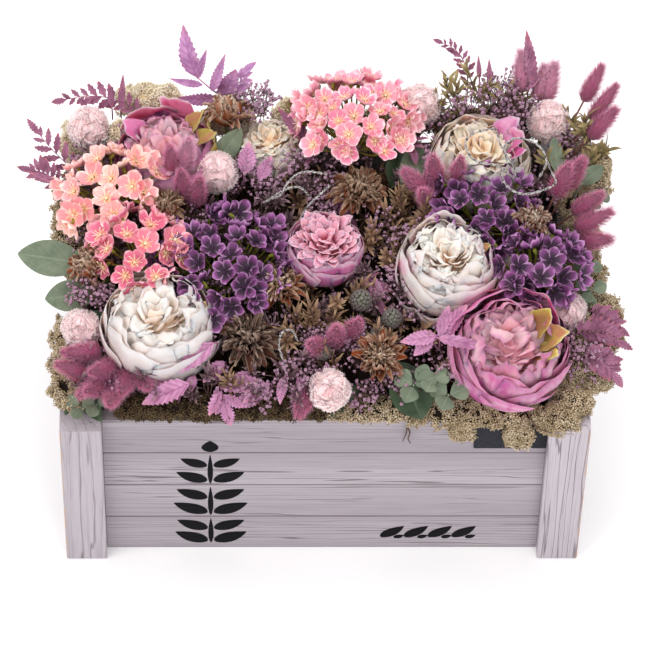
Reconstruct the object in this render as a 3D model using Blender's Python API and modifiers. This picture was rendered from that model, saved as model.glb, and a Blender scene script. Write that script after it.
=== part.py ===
"""A floral centrepiece: a low whitewashed wooden crate, filled to above its rim with flowers in foam.

The crate stands on z = 0 with its middle at the origin, its front along -Y and its width along X.
Every flower is one solid: a head turned about its own stem. The stem runs straight down through
the moss into a bore in the foam, so one pair of points, the head and the place where the stem
enters the moss, fixes both the flower and its bore.
"""

import math

import bmesh
import bpy
from mathutils import Matrix, Vector

MM = 0.001
GAP = 0.3 * MM  # clearance between pieces that touch

# Crate
WIDTH = 400 * MM
DEPTH = 270 * MM
HEIGHT = 200 * MM
POST = 31.5 * MM  # side of a square corner post
RECESS = 10.5 * MM  # from a post's outer face back to a panel's face
PANEL = 9 * MM
GROOVES = 3  # milled lines across each panel
GROOVE = 1.2 * MM  # depth, and half the width
EDGE = 0.7 * MM  # softened edges of the posts
FLOOR = 8 * MM
LABEL_SIZE = Vector((55, 1.0, 35)) * MM
LABEL_DROP = 6 * MM  # from the rim down to the label's upper edge

# Inside the crate
LINER = 1.0 * MM
LINER_TOP = 183 * MM
LINER_PLAY = 1.5 * MM  # between the liner and the posts
FOAM_TOP = 172 * MM
FOAM_JOINT_X = 48 * MM
MOSS_TOP = 197 * MM
STEM_FOOT_Z = 128 * MM
BORE_PLAY = 1 * MM  # below a stem's foot

ROUND_STEPS = 10  # sides of a turned head
STEM_STEPS = 6
UP = Vector((0, 0, 1))

# Outlines of the turned heads, from the crown down: (distance out, height), as shares of the radius
PEONY = [
    (0, 0.72), (0.36, 0.70), (0.66, 0.58), (0.90, 0.32),
    (1, 0), (0.90, -0.32), (0.58, -0.56), (0.2, -0.66),
]
POMPON = [(0, 0.76), (0.45, 0.68), (0.82, 0.42), (1, 0), (0.84, -0.42), (0.45, -0.72), (0.16, -0.95)]
DOME = [(0, 0.42), (0.42, 0.37), (0.78, 0.18), (1, -0.10), (0.86, -0.28), (0.40, -0.50), (0.08, -0.72)]
BRACT = [(0, 0.34), (0.55, 0.44), (1, 0.30), (0.86, -0.12), (0.52, -0.60), (0.16, -0.95)]

# What is planted, in mm: head radius, stem radius, the head's centre, and where the stem enters the moss
HEADS = {
    "peony": (PEONY, {
        "back_left": (32, 2.4, (-130, 92, 245), (-122, 82)),
        "back_middle": (25, 2.4, (-42, 97, 238), (-40, 86)),
        "back_right": (32, 2.4, (123, 91, 245), (116, 80)),
        "centre": (29, 2.4, (0, 0, 252), (2, -4)),
        "right_centre": (34, 2.4, (90, -27, 250), (84, -24)),
        "front_left": (38, 2.4, (-128, -74, 242), (-124, -68)),
        "front_right": (42, 2.4, (140, -89, 242), (134, -80)),
    }),
    "wax_flowers": (DOME, {
        "left_upper": (27, 1.8, (-167, 51, 252), (-152, 46)),
        "left_lower": (25, 1.8, (-142, -5, 254), (-138, -2)),
        "top": (34, 1.8, (24, 112, 258), (22, 92)),
    }),
    "violet_flowers": (DOME, {
        "left": (35, 1.8, (-77, -15, 250), (-74, -14)),
        "right_upper": (28, 1.8, (122, 29, 256), (116, 28)),
        "right_lower": (24, 1.8, (163, -20, 254), (152, -16)),
    }),
    "pompon": (POMPON, {
        "back_left": (17, 1.4, (-181, 115, 236), (-160, 96)),
        "left": (17, 1.4, (-82, 67, 246), (-82, 60)),
        "back": (17, 1.4, (74, 129, 246), (70, 96)),
        "back_right": (17, 1.4, (173, 114, 246), (156, 94)),
        "front_left": (16, 1.4, (-184, -60, 226), (-161, -54)),
        "front": (17, 1.4, (3, -116, 230), (2, -96)),
        "right": (16, 1.4, (184, -44, 224), (161, -41)),
    }),
    "seed_head": (BRACT, {
        "back_left": (18, 1.4, (-77, 125, 238), (-74, 95)),
        "left": (13, 1.4, (-127, 33, 246), (-118, 31)),
        "far_left": (14, 1.4, (-183, -13, 236), (-160, -12)),
        "middle": (17, 1.4, (24, 56, 247), (24, 50)),
        "centre": (15, 1.4, (-28, -38, 242), (-30, -36)),
        "front_left": (18, 1.4, (-61, -86, 236), (-60, -76)),
        "front": (18, 1.4, (38, -101, 236), (40, -84)),
        "right": (12, 1.4, (163, 15, 256), (148, 14)),
    }),
}

# Hare's-tail grass: where the bunch enters the moss, then each tail's middle
BUNCHES = {
    "hares_tails_front_left": ((-158, -92), [(-172, -116, 222), (-188, -97, 226), (-160, -126, 216)]),
    "hares_tails_left": ((-104, 46), [(-108, 50, 256), (-97, 46, 252)]),
    "hares_tails_centre": ((92, 52), [(84, 58, 262), (101, 57, 262), (78, 40, 252)]),
    "hares_tails_back_right": ((163, 76), [(207, 138, 262), (215, 123, 258), (214, 108, 252)]),
    "hares_tails_right": ((160, 32), [(180, 48, 264), (200, 36, 250), (205, 10, 240)]),
    "hares_tails_front": ((8, -66), [(8, -76, 244), (-6, -84, 240), (20, -70, 240)]),
}
TAIL_LENGTH = 34 * MM
TAIL_RADIUS = 6.2 * MM
STALK_RADIUS = 1.1 * MM

# Fronds and leaves, in mm: where the stem enters the moss, the point it bends over, the tip, the width
BLADES = {
    "fern_back_left": ((-102, 95), (-118, 146, 232), (-205, 152, 256), 30),
    "fern_left": ((-160, 76), (-190, 77, 222), (-226, 104, 240), 28),
    "fern_tall": ((-97, 97), (-107, 134, 250), (-115, 166, 300), 26),
    "fern_back_right": ((94, 97), (103, 134, 250), (110, 172, 290), 30),
    "fern_right": ((160, -66), (192, -84, 222), (227, -92, 226), 32),
    "fern_front": ((-84, -92), (-78, -112, 224), (-72, -133, 218), 30),
    "sage_leaf": ((-161, 14), (-190, 10, 222), (-226, 2, 226), 26),
    "eucalyptus": ((72, -92), (72, -112, 226), (70, -132, 226), 34),
}
BARE_SHARE = 0.22  # of the free length, without blade
BLADE_THICKNESS = 1.6 * MM
BLADE_ROWS = 9
STEM_HALF_WIDTH = 1.2 * MM

# Moss pads on and over the rim: middle and size, in mm
PADS = {
    "moss_front_left": ((-88, -119, 206), (110, 26, 14)),
    "moss_front_right": ((112, -127, 203), (100, 36, 26)),
    "moss_back_left": ((-120, 128, 207), (70, 30, 16)),
    "moss_right": ((192, 88, 207), (26, 76, 16)),
}
HANGING = [((103, -131, 190), (17, 13, 34)), ((146, -131, 182), (20, 13, 44))]

COLOURS = {
    "whitewashed_wood": ((0.76, 0.72, 0.74), 0.75),
    "plywood": ((0.72, 0.60, 0.44), 0.7),
    "liner": ((0.05, 0.05, 0.05), 0.4),
    "foam": ((0.13, 0.25, 0.12), 0.9),
    "label": ((0.03, 0.03, 0.035), 0.6),
    "moss": ((0.55, 0.46, 0.32), 0.95),
    "peony": ((0.86, 0.66, 0.72), 0.7),
    "wax_flowers": ((0.88, 0.45, 0.48), 0.6),
    "violet_flowers": ((0.19, 0.05, 0.22), 0.6),
    "pompon": ((0.85, 0.66, 0.66), 0.8),
    "seed_head": ((0.36, 0.20, 0.13), 0.85),
    "hares_tails": ((0.42, 0.08, 0.18), 0.9),
    "fern": ((0.30, 0.12, 0.25), 0.8),
    "leaf": ((0.17, 0.25, 0.19), 0.6),
}


def finish(key):
    """The Principled material of that name, made once."""
    material = bpy.data.materials.get(key)
    if material is None:
        colour, roughness = COLOURS[key]
        material = bpy.data.materials.new(key)
        material.use_nodes = True
        shader = material.node_tree.nodes["Principled BSDF"]
        shader.inputs["Base Color"].default_value = (*colour, 1)
        shader.inputs["Roughness"].default_value = roughness
        shader.inputs["Metallic"].default_value = 0
    return material


def new_collection(name):
    made = bpy.data.collections.new(name)
    bpy.context.scene.collection.children.link(made)
    return made


def add(name, data, key, place=None):
    """A piece of the object, with its finish, at its place."""
    piece = bpy.data.objects.new(name, data)
    parts.objects.link(piece)
    piece.data.materials.append(finish(key))
    piece.matrix_world = place or Matrix()
    return piece


def add_cutter(name, data):
    """A hidden helper whose volume is taken from a piece."""
    cutter = bpy.data.objects.new(name, data)
    cutters.objects.link(cutter)
    cutter.hide_render = True
    cutter.display_type = "WIRE"
    return cutter


def mesh_from(name, build):
    """A mesh that build(bm) fills."""
    bm = bmesh.new()
    build(bm)
    mesh = bpy.data.meshes.new(name)
    bm.to_mesh(mesh)
    bm.free()
    return mesh


def box_mesh(name, low, high):
    low, high = Vector(low), Vector(high)
    middle = Matrix.Translation((low + high) / 2) @ Matrix.Diagonal((*(high - low), 1))
    return mesh_from(name, lambda bm: bmesh.ops.create_cube(bm, size=1, matrix=middle))


def cut(piece, cutter):
    modifier = piece.modifiers.new("cut", "BOOLEAN")
    modifier.operation = "DIFFERENCE"
    modifier.object = cutter


def soften(piece, width=EDGE, segments=1):
    modifier = piece.modifiers.new("edges", "BEVEL")
    modifier.width = width
    modifier.segments = segments


def fix_modifiers(piece):
    """Turns a piece's modifiers into plain mesh."""
    bpy.context.view_layer.update()
    evaluated = piece.evaluated_get(bpy.context.evaluated_depsgraph_get())
    mesh = bpy.data.meshes.new_from_object(evaluated)
    piece.modifiers.clear()
    piece.data = mesh


def along(start, end):
    """The placing that puts local +Z along start to end, with the origin at start."""
    turn = UP.rotation_difference((end - start).normalized())
    return Matrix.Translation(start) @ turn.to_matrix().to_4x4()


# ---------------------------------------------------------------- crate

def crate_post(name, x_side, y_side):
    outer = Vector((x_side * WIDTH / 2, y_side * DEPTH / 2, 0))
    inner = outer - Vector((x_side * POST, y_side * POST, -HEIGHT))
    low = [min(a, b) for a, b in zip(outer, inner)]
    high = [max(a, b) for a, b in zip(outer, inner)]
    soften(add(name, box_mesh(name, low, high), "whitewashed_wood"))


def panel_outline():
    """Section of a grooved panel: (outwards, upwards), with V grooves in the outer face."""
    outline = [(-PANEL, 0), (0, 0)]
    for n in range(1, GROOVES + 1):
        z = HEIGHT * n / (GROOVES + 1)
        outline += [(0, z - GROOVE), (-GROOVE, z), (0, z + GROOVE)]
    return outline + [(0, HEIGHT), (-PANEL, HEIGHT)]


def crate_panel(name, side, turn):
    """A grooved panel between two posts: side is the crate's size across it, turn its angle about Z."""
    across = WIDTH if side == DEPTH else DEPTH
    curve = bpy.data.curves.new(name, "CURVE")
    curve.dimensions = "2D"
    curve.fill_mode = "BOTH"
    curve.extrude = side / 2 - POST - GAP
    outline = panel_outline()
    spline = curve.splines.new("POLY")
    spline.points.add(len(outline) - 1)
    for point, (out, up) in zip(spline.points, outline):
        point.co = (out, up, 0, 1)
    spline.use_cyclic_u = True
    # outline's X points outwards (-Y), its Y upwards, and the extrusion runs along X
    stand = Matrix(((0, 0, 1, 0), (-1, 0, 0, -(across / 2 - RECESS)), (0, 1, 0, 0), (0, 0, 0, 1)))
    add(name, curve, "whitewashed_wood", Matrix.Rotation(math.radians(turn), 4, "Z") @ stand)


def crate():
    for y_name, y_side in (("front", -1), ("back", 1)):
        for x_name, x_side in (("left", -1), ("right", 1)):
            crate_post(f"post_{y_name}_{x_name}", x_side, y_side)
    sides = (("front", WIDTH, 0), ("right", DEPTH, 90), ("back", WIDTH, 180), ("left", DEPTH, 270))
    for name, side, turn in sides:
        crate_panel(f"panel_{name}", side, turn)
    reach = Vector((WIDTH / 2, DEPTH / 2, 0)) - Vector((1, 1, 0)) * (RECESS + PANEL + GAP)
    board = add("bottom_board", box_mesh("bottom_board", -reach, reach + UP * FLOOR), "plywood")
    for x_side in (-1, 1):
        for y_side in (-1, 1):
            corner = Vector((x_side * WIDTH / 2, y_side * DEPTH / 2, FLOOR / 2))
            half = Vector((POST + GAP, POST + GAP, FLOOR))
            notch = add_cutter("board_notch", box_mesh("board_notch", corner - half, corner + half))
            cut(board, notch)
    face_y = -DEPTH / 2 + RECESS - GAP
    high = Vector((WIDTH / 2 - POST - GAP, face_y, HEIGHT - LABEL_DROP))
    label = add("label_plate", box_mesh("label_plate", high - LABEL_SIZE, high), "label")
    soften(label, 0.2 * MM)


# ---------------------------------------------------------------- filling

def liner_half():
    """Half of the liner's outer width and depth."""
    return Vector((WIDTH / 2, DEPTH / 2, 0)) - Vector((1, 1, 0)) * (POST + LINER_PLAY)


def liner():
    half = liner_half()
    bottom = FLOOR + GAP
    mesh = box_mesh("liner", -half + UP * bottom, half + UP * LINER_TOP)
    bm = bmesh.new()
    bm.from_mesh(mesh)
    top = [face for face in bm.faces if face.normal.z > 0.5]
    bmesh.ops.delete(bm, geom=top, context="FACES")
    bm.to_mesh(mesh)
    bm.free()
    wall = add("liner", mesh, "liner").modifiers.new("wall", "SOLIDIFY")
    wall.thickness = LINER
    wall.offset = -1
    wall.use_even_offset = True


def filling(bores):
    """Two foam bricks in the liner and the moss over them, all bored for the stems."""
    half = liner_half() - Vector((1, 1, 0)) * (LINER + GAP)
    bottom = FLOOR + LINER + 2 * GAP
    bricks = (
        ("foam_brick_left", (-half.x, -half.y, bottom), (FOAM_JOINT_X - GAP, half.y, FOAM_TOP), "foam"),
        ("foam_brick_right", (FOAM_JOINT_X, -half.y, bottom), (half.x, half.y, FOAM_TOP), "foam"),
        ("moss_bed", (-half.x, -half.y, FOAM_TOP + GAP), (half.x, half.y, MOSS_TOP), "moss"),
    )
    for name, low, high, key in bricks:
        cut(add(name, box_mesh(name, low, high), key), bores)


def add_bore(bm, entry, towards, radius):
    """One six-sided bore from the stem's foot up through the moss, with room around the stem."""
    axis = (towards - entry).normalized()
    foot = entry - axis * ((entry.z - STEM_FOOT_Z) / axis.z + BORE_PLAY)
    mouth = entry + axis * 4 * MM
    length = (mouth - foot).length
    middle = along(foot, mouth) @ Matrix.Translation(UP * length / 2)
    wide = (radius + 1.3 * GAP) / math.cos(math.pi / 6)
    bmesh.ops.create_cone(
        bm, cap_ends=True, segments=6, radius1=wide, radius2=wide, depth=length, matrix=middle
    )


# ---------------------------------------------------------------- flowers

def turned(name, profile, key, place, steps):
    """A closed solid turned about its local Z from an outline that runs from the top down."""
    def outline(bm):
        verts = [bm.verts.new((radius, 0, height)) for radius, height in profile]
        for upper, lower in zip(verts, verts[1:]):
            bm.edges.new((upper, lower))
    piece = add(name, mesh_from(name, outline), key, place)
    screw = piece.modifiers.new("turn", "SCREW")
    screw.steps = screw.render_steps = steps
    screw.use_smooth_shade = True
    screw.use_merge_vertices = True
    screw.merge_threshold = 0.02 * MM
    return piece


def planted_flower(name, key, outline, radius, stem, centre, entry):
    """A head with its stem: the stem leans from the moss to the head and ends in the foam."""
    length = (centre - entry).length * (centre.z - STEM_FOOT_Z) / (centre.z - entry.z)
    profile = [(share * radius, height * radius) for share, height in outline]
    profile += [(stem, profile[-1][1] - stem), (stem, -length), (0, -length)]
    turned(name, profile, key, along(centre, 2 * centre - entry), ROUND_STEPS)


def steep_axis(entry, towards):
    """The direction in the foam of a stem whose spray leans over: half way from that lean to upright."""
    return ((towards - entry).normalized() + UP).normalized()


def rod_with_tail(name, key, start, end, stalk, tail=None):
    """A stalk from start to end, with a spindle-shaped tail at its end if tail is (length, radius)."""
    length = (end - start).length
    if tail:
        tail_length, tail_radius = tail
        spindle = [(0, 1), (0.55, 0.86), (1, 0.52), (0.75, 0.18)]
        profile = [(share * tail_radius, length - tail_length * (1 - up)) for share, up in spindle]
        profile += [(stalk, length - tail_length), (stalk, 0), (0, 0)]
    else:
        profile = [(0, length), (stalk, length), (stalk, 0), (0, 0)]
    return turned(name, profile, key, along(start, end), STEM_STEPS)


def join(piece, others):
    """Unites the others with the piece in one solid, and removes them."""
    for other in others:
        fix_modifiers(other)
        modifier = piece.modifiers.new("join", "BOOLEAN")
        modifier.operation = "UNION"
        modifier.object = other
    fix_modifiers(piece)
    for other in others:
        bpy.data.objects.remove(other)


def planted_bunch(name, entry, middles):
    """Hare's tails on stalks that fan out from one bound foot in the foam."""
    spread = sum(middles, Vector()) / len(middles)
    axis = steep_axis(entry, spread)
    foot = entry - axis * ((entry.z - STEM_FOOT_Z) / axis.z)
    fork = entry + axis * 3 * MM
    stub = rod_with_tail(name, "hares_tails", foot, fork, 2 * STALK_RADIUS)
    tails = []
    for n, middle in enumerate(middles):
        heading = (middle - fork).normalized()
        start = fork - heading * STALK_RADIUS
        end = middle + heading * TAIL_LENGTH / 2
        tail = (TAIL_LENGTH, TAIL_RADIUS)
        tails.append(rod_with_tail(f"{name}_{n}", "hares_tails", start, end, STALK_RADIUS, tail))
    join(stub, tails)


def planted_blade(name, key, entry, bend, tip, width):
    """A frond or leaf: a narrow stem out of the foam that widens to a blade and bends over to its tip."""
    axis = steep_axis(entry, bend)
    foot = entry - axis * ((entry.z - STEM_FOOT_Z) / axis.z)
    start = entry + axis * 6 * MM
    side = UP.cross(Vector((tip.x - entry.x, tip.y - entry.y, 0))).normalized()

    def surface(bm):
        bmesh.ops.create_grid(bm, x_segments=2, y_segments=BLADE_ROWS, size=1)
        for vert in bm.verts:
            row = round((vert.co.y + 1) / 2 * BLADE_ROWS)
            share = max(0, row - 1) / (BLADE_ROWS - 1)
            spine = start * (1 - share) ** 2 + bend * 2 * share * (1 - share) + tip * share ** 2
            leafy = max(0, min(0.98, (share - BARE_SHARE) / (1 - BARE_SHARE)))
            half = max(STEM_HALF_WIDTH, width / 2 * math.sin(math.pi * leafy) ** 0.8)
            vert.co = (spine if row else foot) + side * half * vert.co.x
        bmesh.ops.recalc_face_normals(bm, faces=bm.faces)

    sheet = mesh_from(name, surface)
    sheet.shade_smooth()
    wall = add(name, sheet, key).modifiers.new("thickness", "SOLIDIFY")
    wall.thickness = BLADE_THICKNESS
    wall.offset = 0


def soft_pad(name, middle, size):
    """A rounded clump of moss, from a subdivided block."""
    middle, size = Vector(middle) * MM, Vector(size) * MM
    block = box_mesh(name, middle - size / 2, middle + size / 2)
    block.shade_smooth()
    pad = add(name, block, "moss")
    rounding = pad.modifiers.new("rounding", "SUBSURF")
    rounding.levels = rounding.render_levels = 2
    return pad


def moss_on_rim():
    """Moss pads over the rim, cut clear of the crate. The front right one hangs down before its panel."""
    half = Vector((WIDTH, DEPTH, 0)) / 2 + Vector((1, 1, 0)) * GAP
    crate_room = add_cutter("crate_room", box_mesh("crate_room", -half, half + UP * (HEIGHT + GAP)))
    recess_low = Vector((-WIDTH / 2 + POST, -DEPTH, 0))
    recess_high = Vector((WIDTH / 2 - POST, -DEPTH / 2 + RECESS - LABEL_SIZE.y - 3 * GAP, HEIGHT * 2))
    recess = add_cutter("front_recess", box_mesh("front_recess", recess_low, recess_high))
    cut(crate_room, recess)
    fix_modifiers(crate_room)
    for name, (middle, size) in PADS.items():
        pad = soft_pad(name, middle, size)
        if name == "moss_front_right":
            join_hanging(pad)
        cut(pad, crate_room)


def join_hanging(pad):
    """Adds the tufts that hang from the front right pad."""
    fix_modifiers(pad)
    join(pad, [soft_pad(f"tuft_{n}", *tuft) for n, tuft in enumerate(HANGING)])


# ---------------------------------------------------------------- planting

def at_moss(entry):
    return Vector((*entry, MOSS_TOP / MM)) * MM


def planting():
    """Plants every flower, bunch and blade, and returns the cutter that bores their stems' places."""
    bores = bmesh.new()
    for kind, (outline, plants) in HEADS.items():
        for place, (radius, stem, centre, entry) in plants.items():
            centre, entry = Vector(centre) * MM, at_moss(entry)
            name = f"{kind}_{place}"
            planted_flower(name, kind, outline, radius * MM, stem * MM, centre, entry)
            add_bore(bores, entry, centre, stem * MM)
    for name, (entry, middles) in BUNCHES.items():
        entry, middles = at_moss(entry), [Vector(middle) * MM for middle in middles]
        planted_bunch(name, entry, middles)
        spread = sum(middles, Vector()) / len(middles)
        add_bore(bores, entry, entry + steep_axis(entry, spread), 2 * STALK_RADIUS)
    for name, (entry, bend, tip, width) in BLADES.items():
        entry, bend, tip = at_moss(entry), Vector(bend) * MM, Vector(tip) * MM
        planted_blade(name, "fern" if name.startswith("fern") else "leaf", entry, bend, tip, width * MM)
        add_bore(bores, entry, entry + steep_axis(entry, bend), 1.7 * STEM_HALF_WIDTH)
    mesh = bpy.data.meshes.new("stem_bores")
    bores.to_mesh(mesh)
    bores.free()
    return add_cutter("stem_bores", mesh)


# ---------------------------------------------------------------- the whole

for old in list(bpy.data.objects):
    bpy.data.objects.remove(old)
parts = new_collection("floral_centrepiece")
cutters = new_collection("cutters")
cutters.hide_render = True

crate()
liner()
filling(planting())
moss_on_rim()
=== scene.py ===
"""The looks of a floral centrepiece in a whitewashed crate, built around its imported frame.

Every soft solid of the frame is replaced by real petals, bracts, florets, fur, fronds or moss.
Their surfaces are worked out with numpy: a sheet is a grid of two parameters, a stem is a circle
carried along a path, and small parts that repeat are one shape set on many frames.
Places and lengths in the tables are in mm, and colours are written as seen, from 0 to 255.
"""

import math

import bpy
import numpy as np
from mathutils import Matrix, Vector


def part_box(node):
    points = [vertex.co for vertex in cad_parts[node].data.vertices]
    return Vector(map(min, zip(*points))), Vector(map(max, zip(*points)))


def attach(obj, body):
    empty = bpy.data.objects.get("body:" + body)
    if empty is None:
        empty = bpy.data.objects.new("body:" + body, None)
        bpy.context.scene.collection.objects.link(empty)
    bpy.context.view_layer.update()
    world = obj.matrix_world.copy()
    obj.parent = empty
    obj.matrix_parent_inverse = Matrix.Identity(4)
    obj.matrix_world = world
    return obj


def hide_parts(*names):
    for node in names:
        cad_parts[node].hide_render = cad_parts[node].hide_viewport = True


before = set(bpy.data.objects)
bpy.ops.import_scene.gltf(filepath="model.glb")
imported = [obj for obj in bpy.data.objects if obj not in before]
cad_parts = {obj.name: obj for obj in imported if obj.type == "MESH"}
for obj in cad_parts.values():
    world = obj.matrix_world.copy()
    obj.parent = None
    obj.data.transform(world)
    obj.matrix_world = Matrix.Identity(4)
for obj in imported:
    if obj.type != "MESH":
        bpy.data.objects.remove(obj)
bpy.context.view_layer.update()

MM = 0.001
TURN = 2 * math.pi
GOLDEN = math.pi * (3 - math.sqrt(5))
UP = np.array([0.0, 0.0, 1.0])
MOSS_TOP = 197  # mm
TRIANGLE = np.array([[1.0, 0.0, 0.0], [-0.5, 0.87, 0.0], [-0.5, -0.87, 0.0]])  # root of a hair or a twig


# ---------------------------------------------------------------- surfaces

def unit(v):
    return v / np.maximum(np.linalg.norm(v, axis=-1, keepdims=True), 1e-12)


def frames_from(axes, spin=None):
    """Rotations (n, 3, 3) whose third column is each axis, turned about it by spin."""
    axes = unit(np.atleast_2d(axes))
    guide = np.where(np.abs(axes[:, 2:]) > 0.9, [[0.0, 1.0, 0.0]], [[0.0, 0.0, 1.0]])
    side = unit(np.cross(guide, axes))
    other = np.cross(axes, side)
    if spin is not None:
        c, s = np.cos(spin)[:, None], np.sin(spin)[:, None]
        side, other = side * c + other * s, other * c - side * s
    return np.stack([side, other, axes], axis=2)


def sphere(slant, turn):
    """Points of the unit ball at a slant from the top and a turn about it."""
    return np.stack([np.sin(slant) * np.cos(turn), np.sin(slant) * np.sin(turn), np.cos(slant)], -1)


def circle(turn):
    """Points of the flat unit circle."""
    return np.stack([np.cos(turn), np.sin(turn), 0 * turn], -1)


def golden(count):
    """The turns of parts that follow one another by the golden angle."""
    return np.arange(count) * GOLDEN


def dome(count, span):
    """Points of the unit ball set by the golden angle from its top down; a span of 2 covers all of it."""
    return sphere(np.arccos(1 - span * (np.arange(count) + 0.5) / count), golden(count))


def turned_out(away, wide, turn, height):
    """Points at a distance from the axis along the bearing turn, moved aside by wide, at a height."""
    c, s = np.cos(turn), np.sin(turn)
    return np.stack([away * c - wide * s, away * s + wide * c, height], -1)


def sheet_plan(rows, columns, start=0.0):
    """The parameters of a sheet: t along it, from start to 1, and s across it, from -1 to 1."""
    return np.linspace(start, 1, rows)[None, :, None], np.linspace(-1, 1, columns)[None, None, :]


def strewn(rng, count):
    """A draw for each of count parts between minus and plus an amount."""
    return lambda amount: rng.uniform(-amount, amount, (count, 1, 1))


def quads_of(index):
    """Faces between the neighbours in a grid of point numbers."""
    return np.stack([index[:-1, :-1], index[:-1, 1:], index[1:, 1:], index[1:, :-1]], -1).reshape(-1, 4)


def rings_of(rows, sides):
    """The point numbers of rings, with the first column once more at the end."""
    index = np.arange(rows * sides).reshape(rows, sides)
    return np.hstack([index, index[:, :1]])


def placed(rows):
    """A table's rows as an array, from mm to metres."""
    return np.array(rows, float) * MM


def arch(start, bend, end, rows):
    """A quadratic curve from start to end that leans towards bend."""
    t = np.linspace(0, 1, rows)[:, None]
    return start * (1 - t) ** 2 + bend * 2 * t * (1 - t) + end * t ** 2


def bowed(start, end, bow, rows):
    """Paths (n, rows, 3) from start to end, carried aside by bow at their middle, on a parabola."""
    t = np.linspace(0, 1, rows)[None, :, None]
    bow = np.broadcast_to(bow, end.shape)
    return start[:, None] * (1 - t) + end[:, None] * t + 4 * t * (1 - t) * bow[:, None]


def curve(points, rows):
    """A smooth path through the points: Catmull-Rom pieces, rows points in all."""
    held = np.vstack([2 * points[0] - points[1], points, 2 * points[-1] - points[-2]])
    u = np.linspace(0, len(points) - 1, rows)
    i = np.minimum(u.astype(int), len(points) - 2)
    t = (u - i)[:, None]
    a, b, c, d = (held[i + n] for n in range(4))
    square, cube = 2 * a - 5 * b + 4 * c - d, 3 * b - a - 3 * c + d
    return 0.5 * (2 * b + (c - a) * t + square * t ** 2 + cube * t ** 3)


def spine_frames(path, normal):
    """Unit vectors across a path (k, 3), off its face and along it, the face turned to the normal."""
    along = unit(np.gradient(path, axis=0))
    across = unit(np.cross(along, np.broadcast_to(normal, path.shape)))
    return across, np.cross(across, along), along


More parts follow.
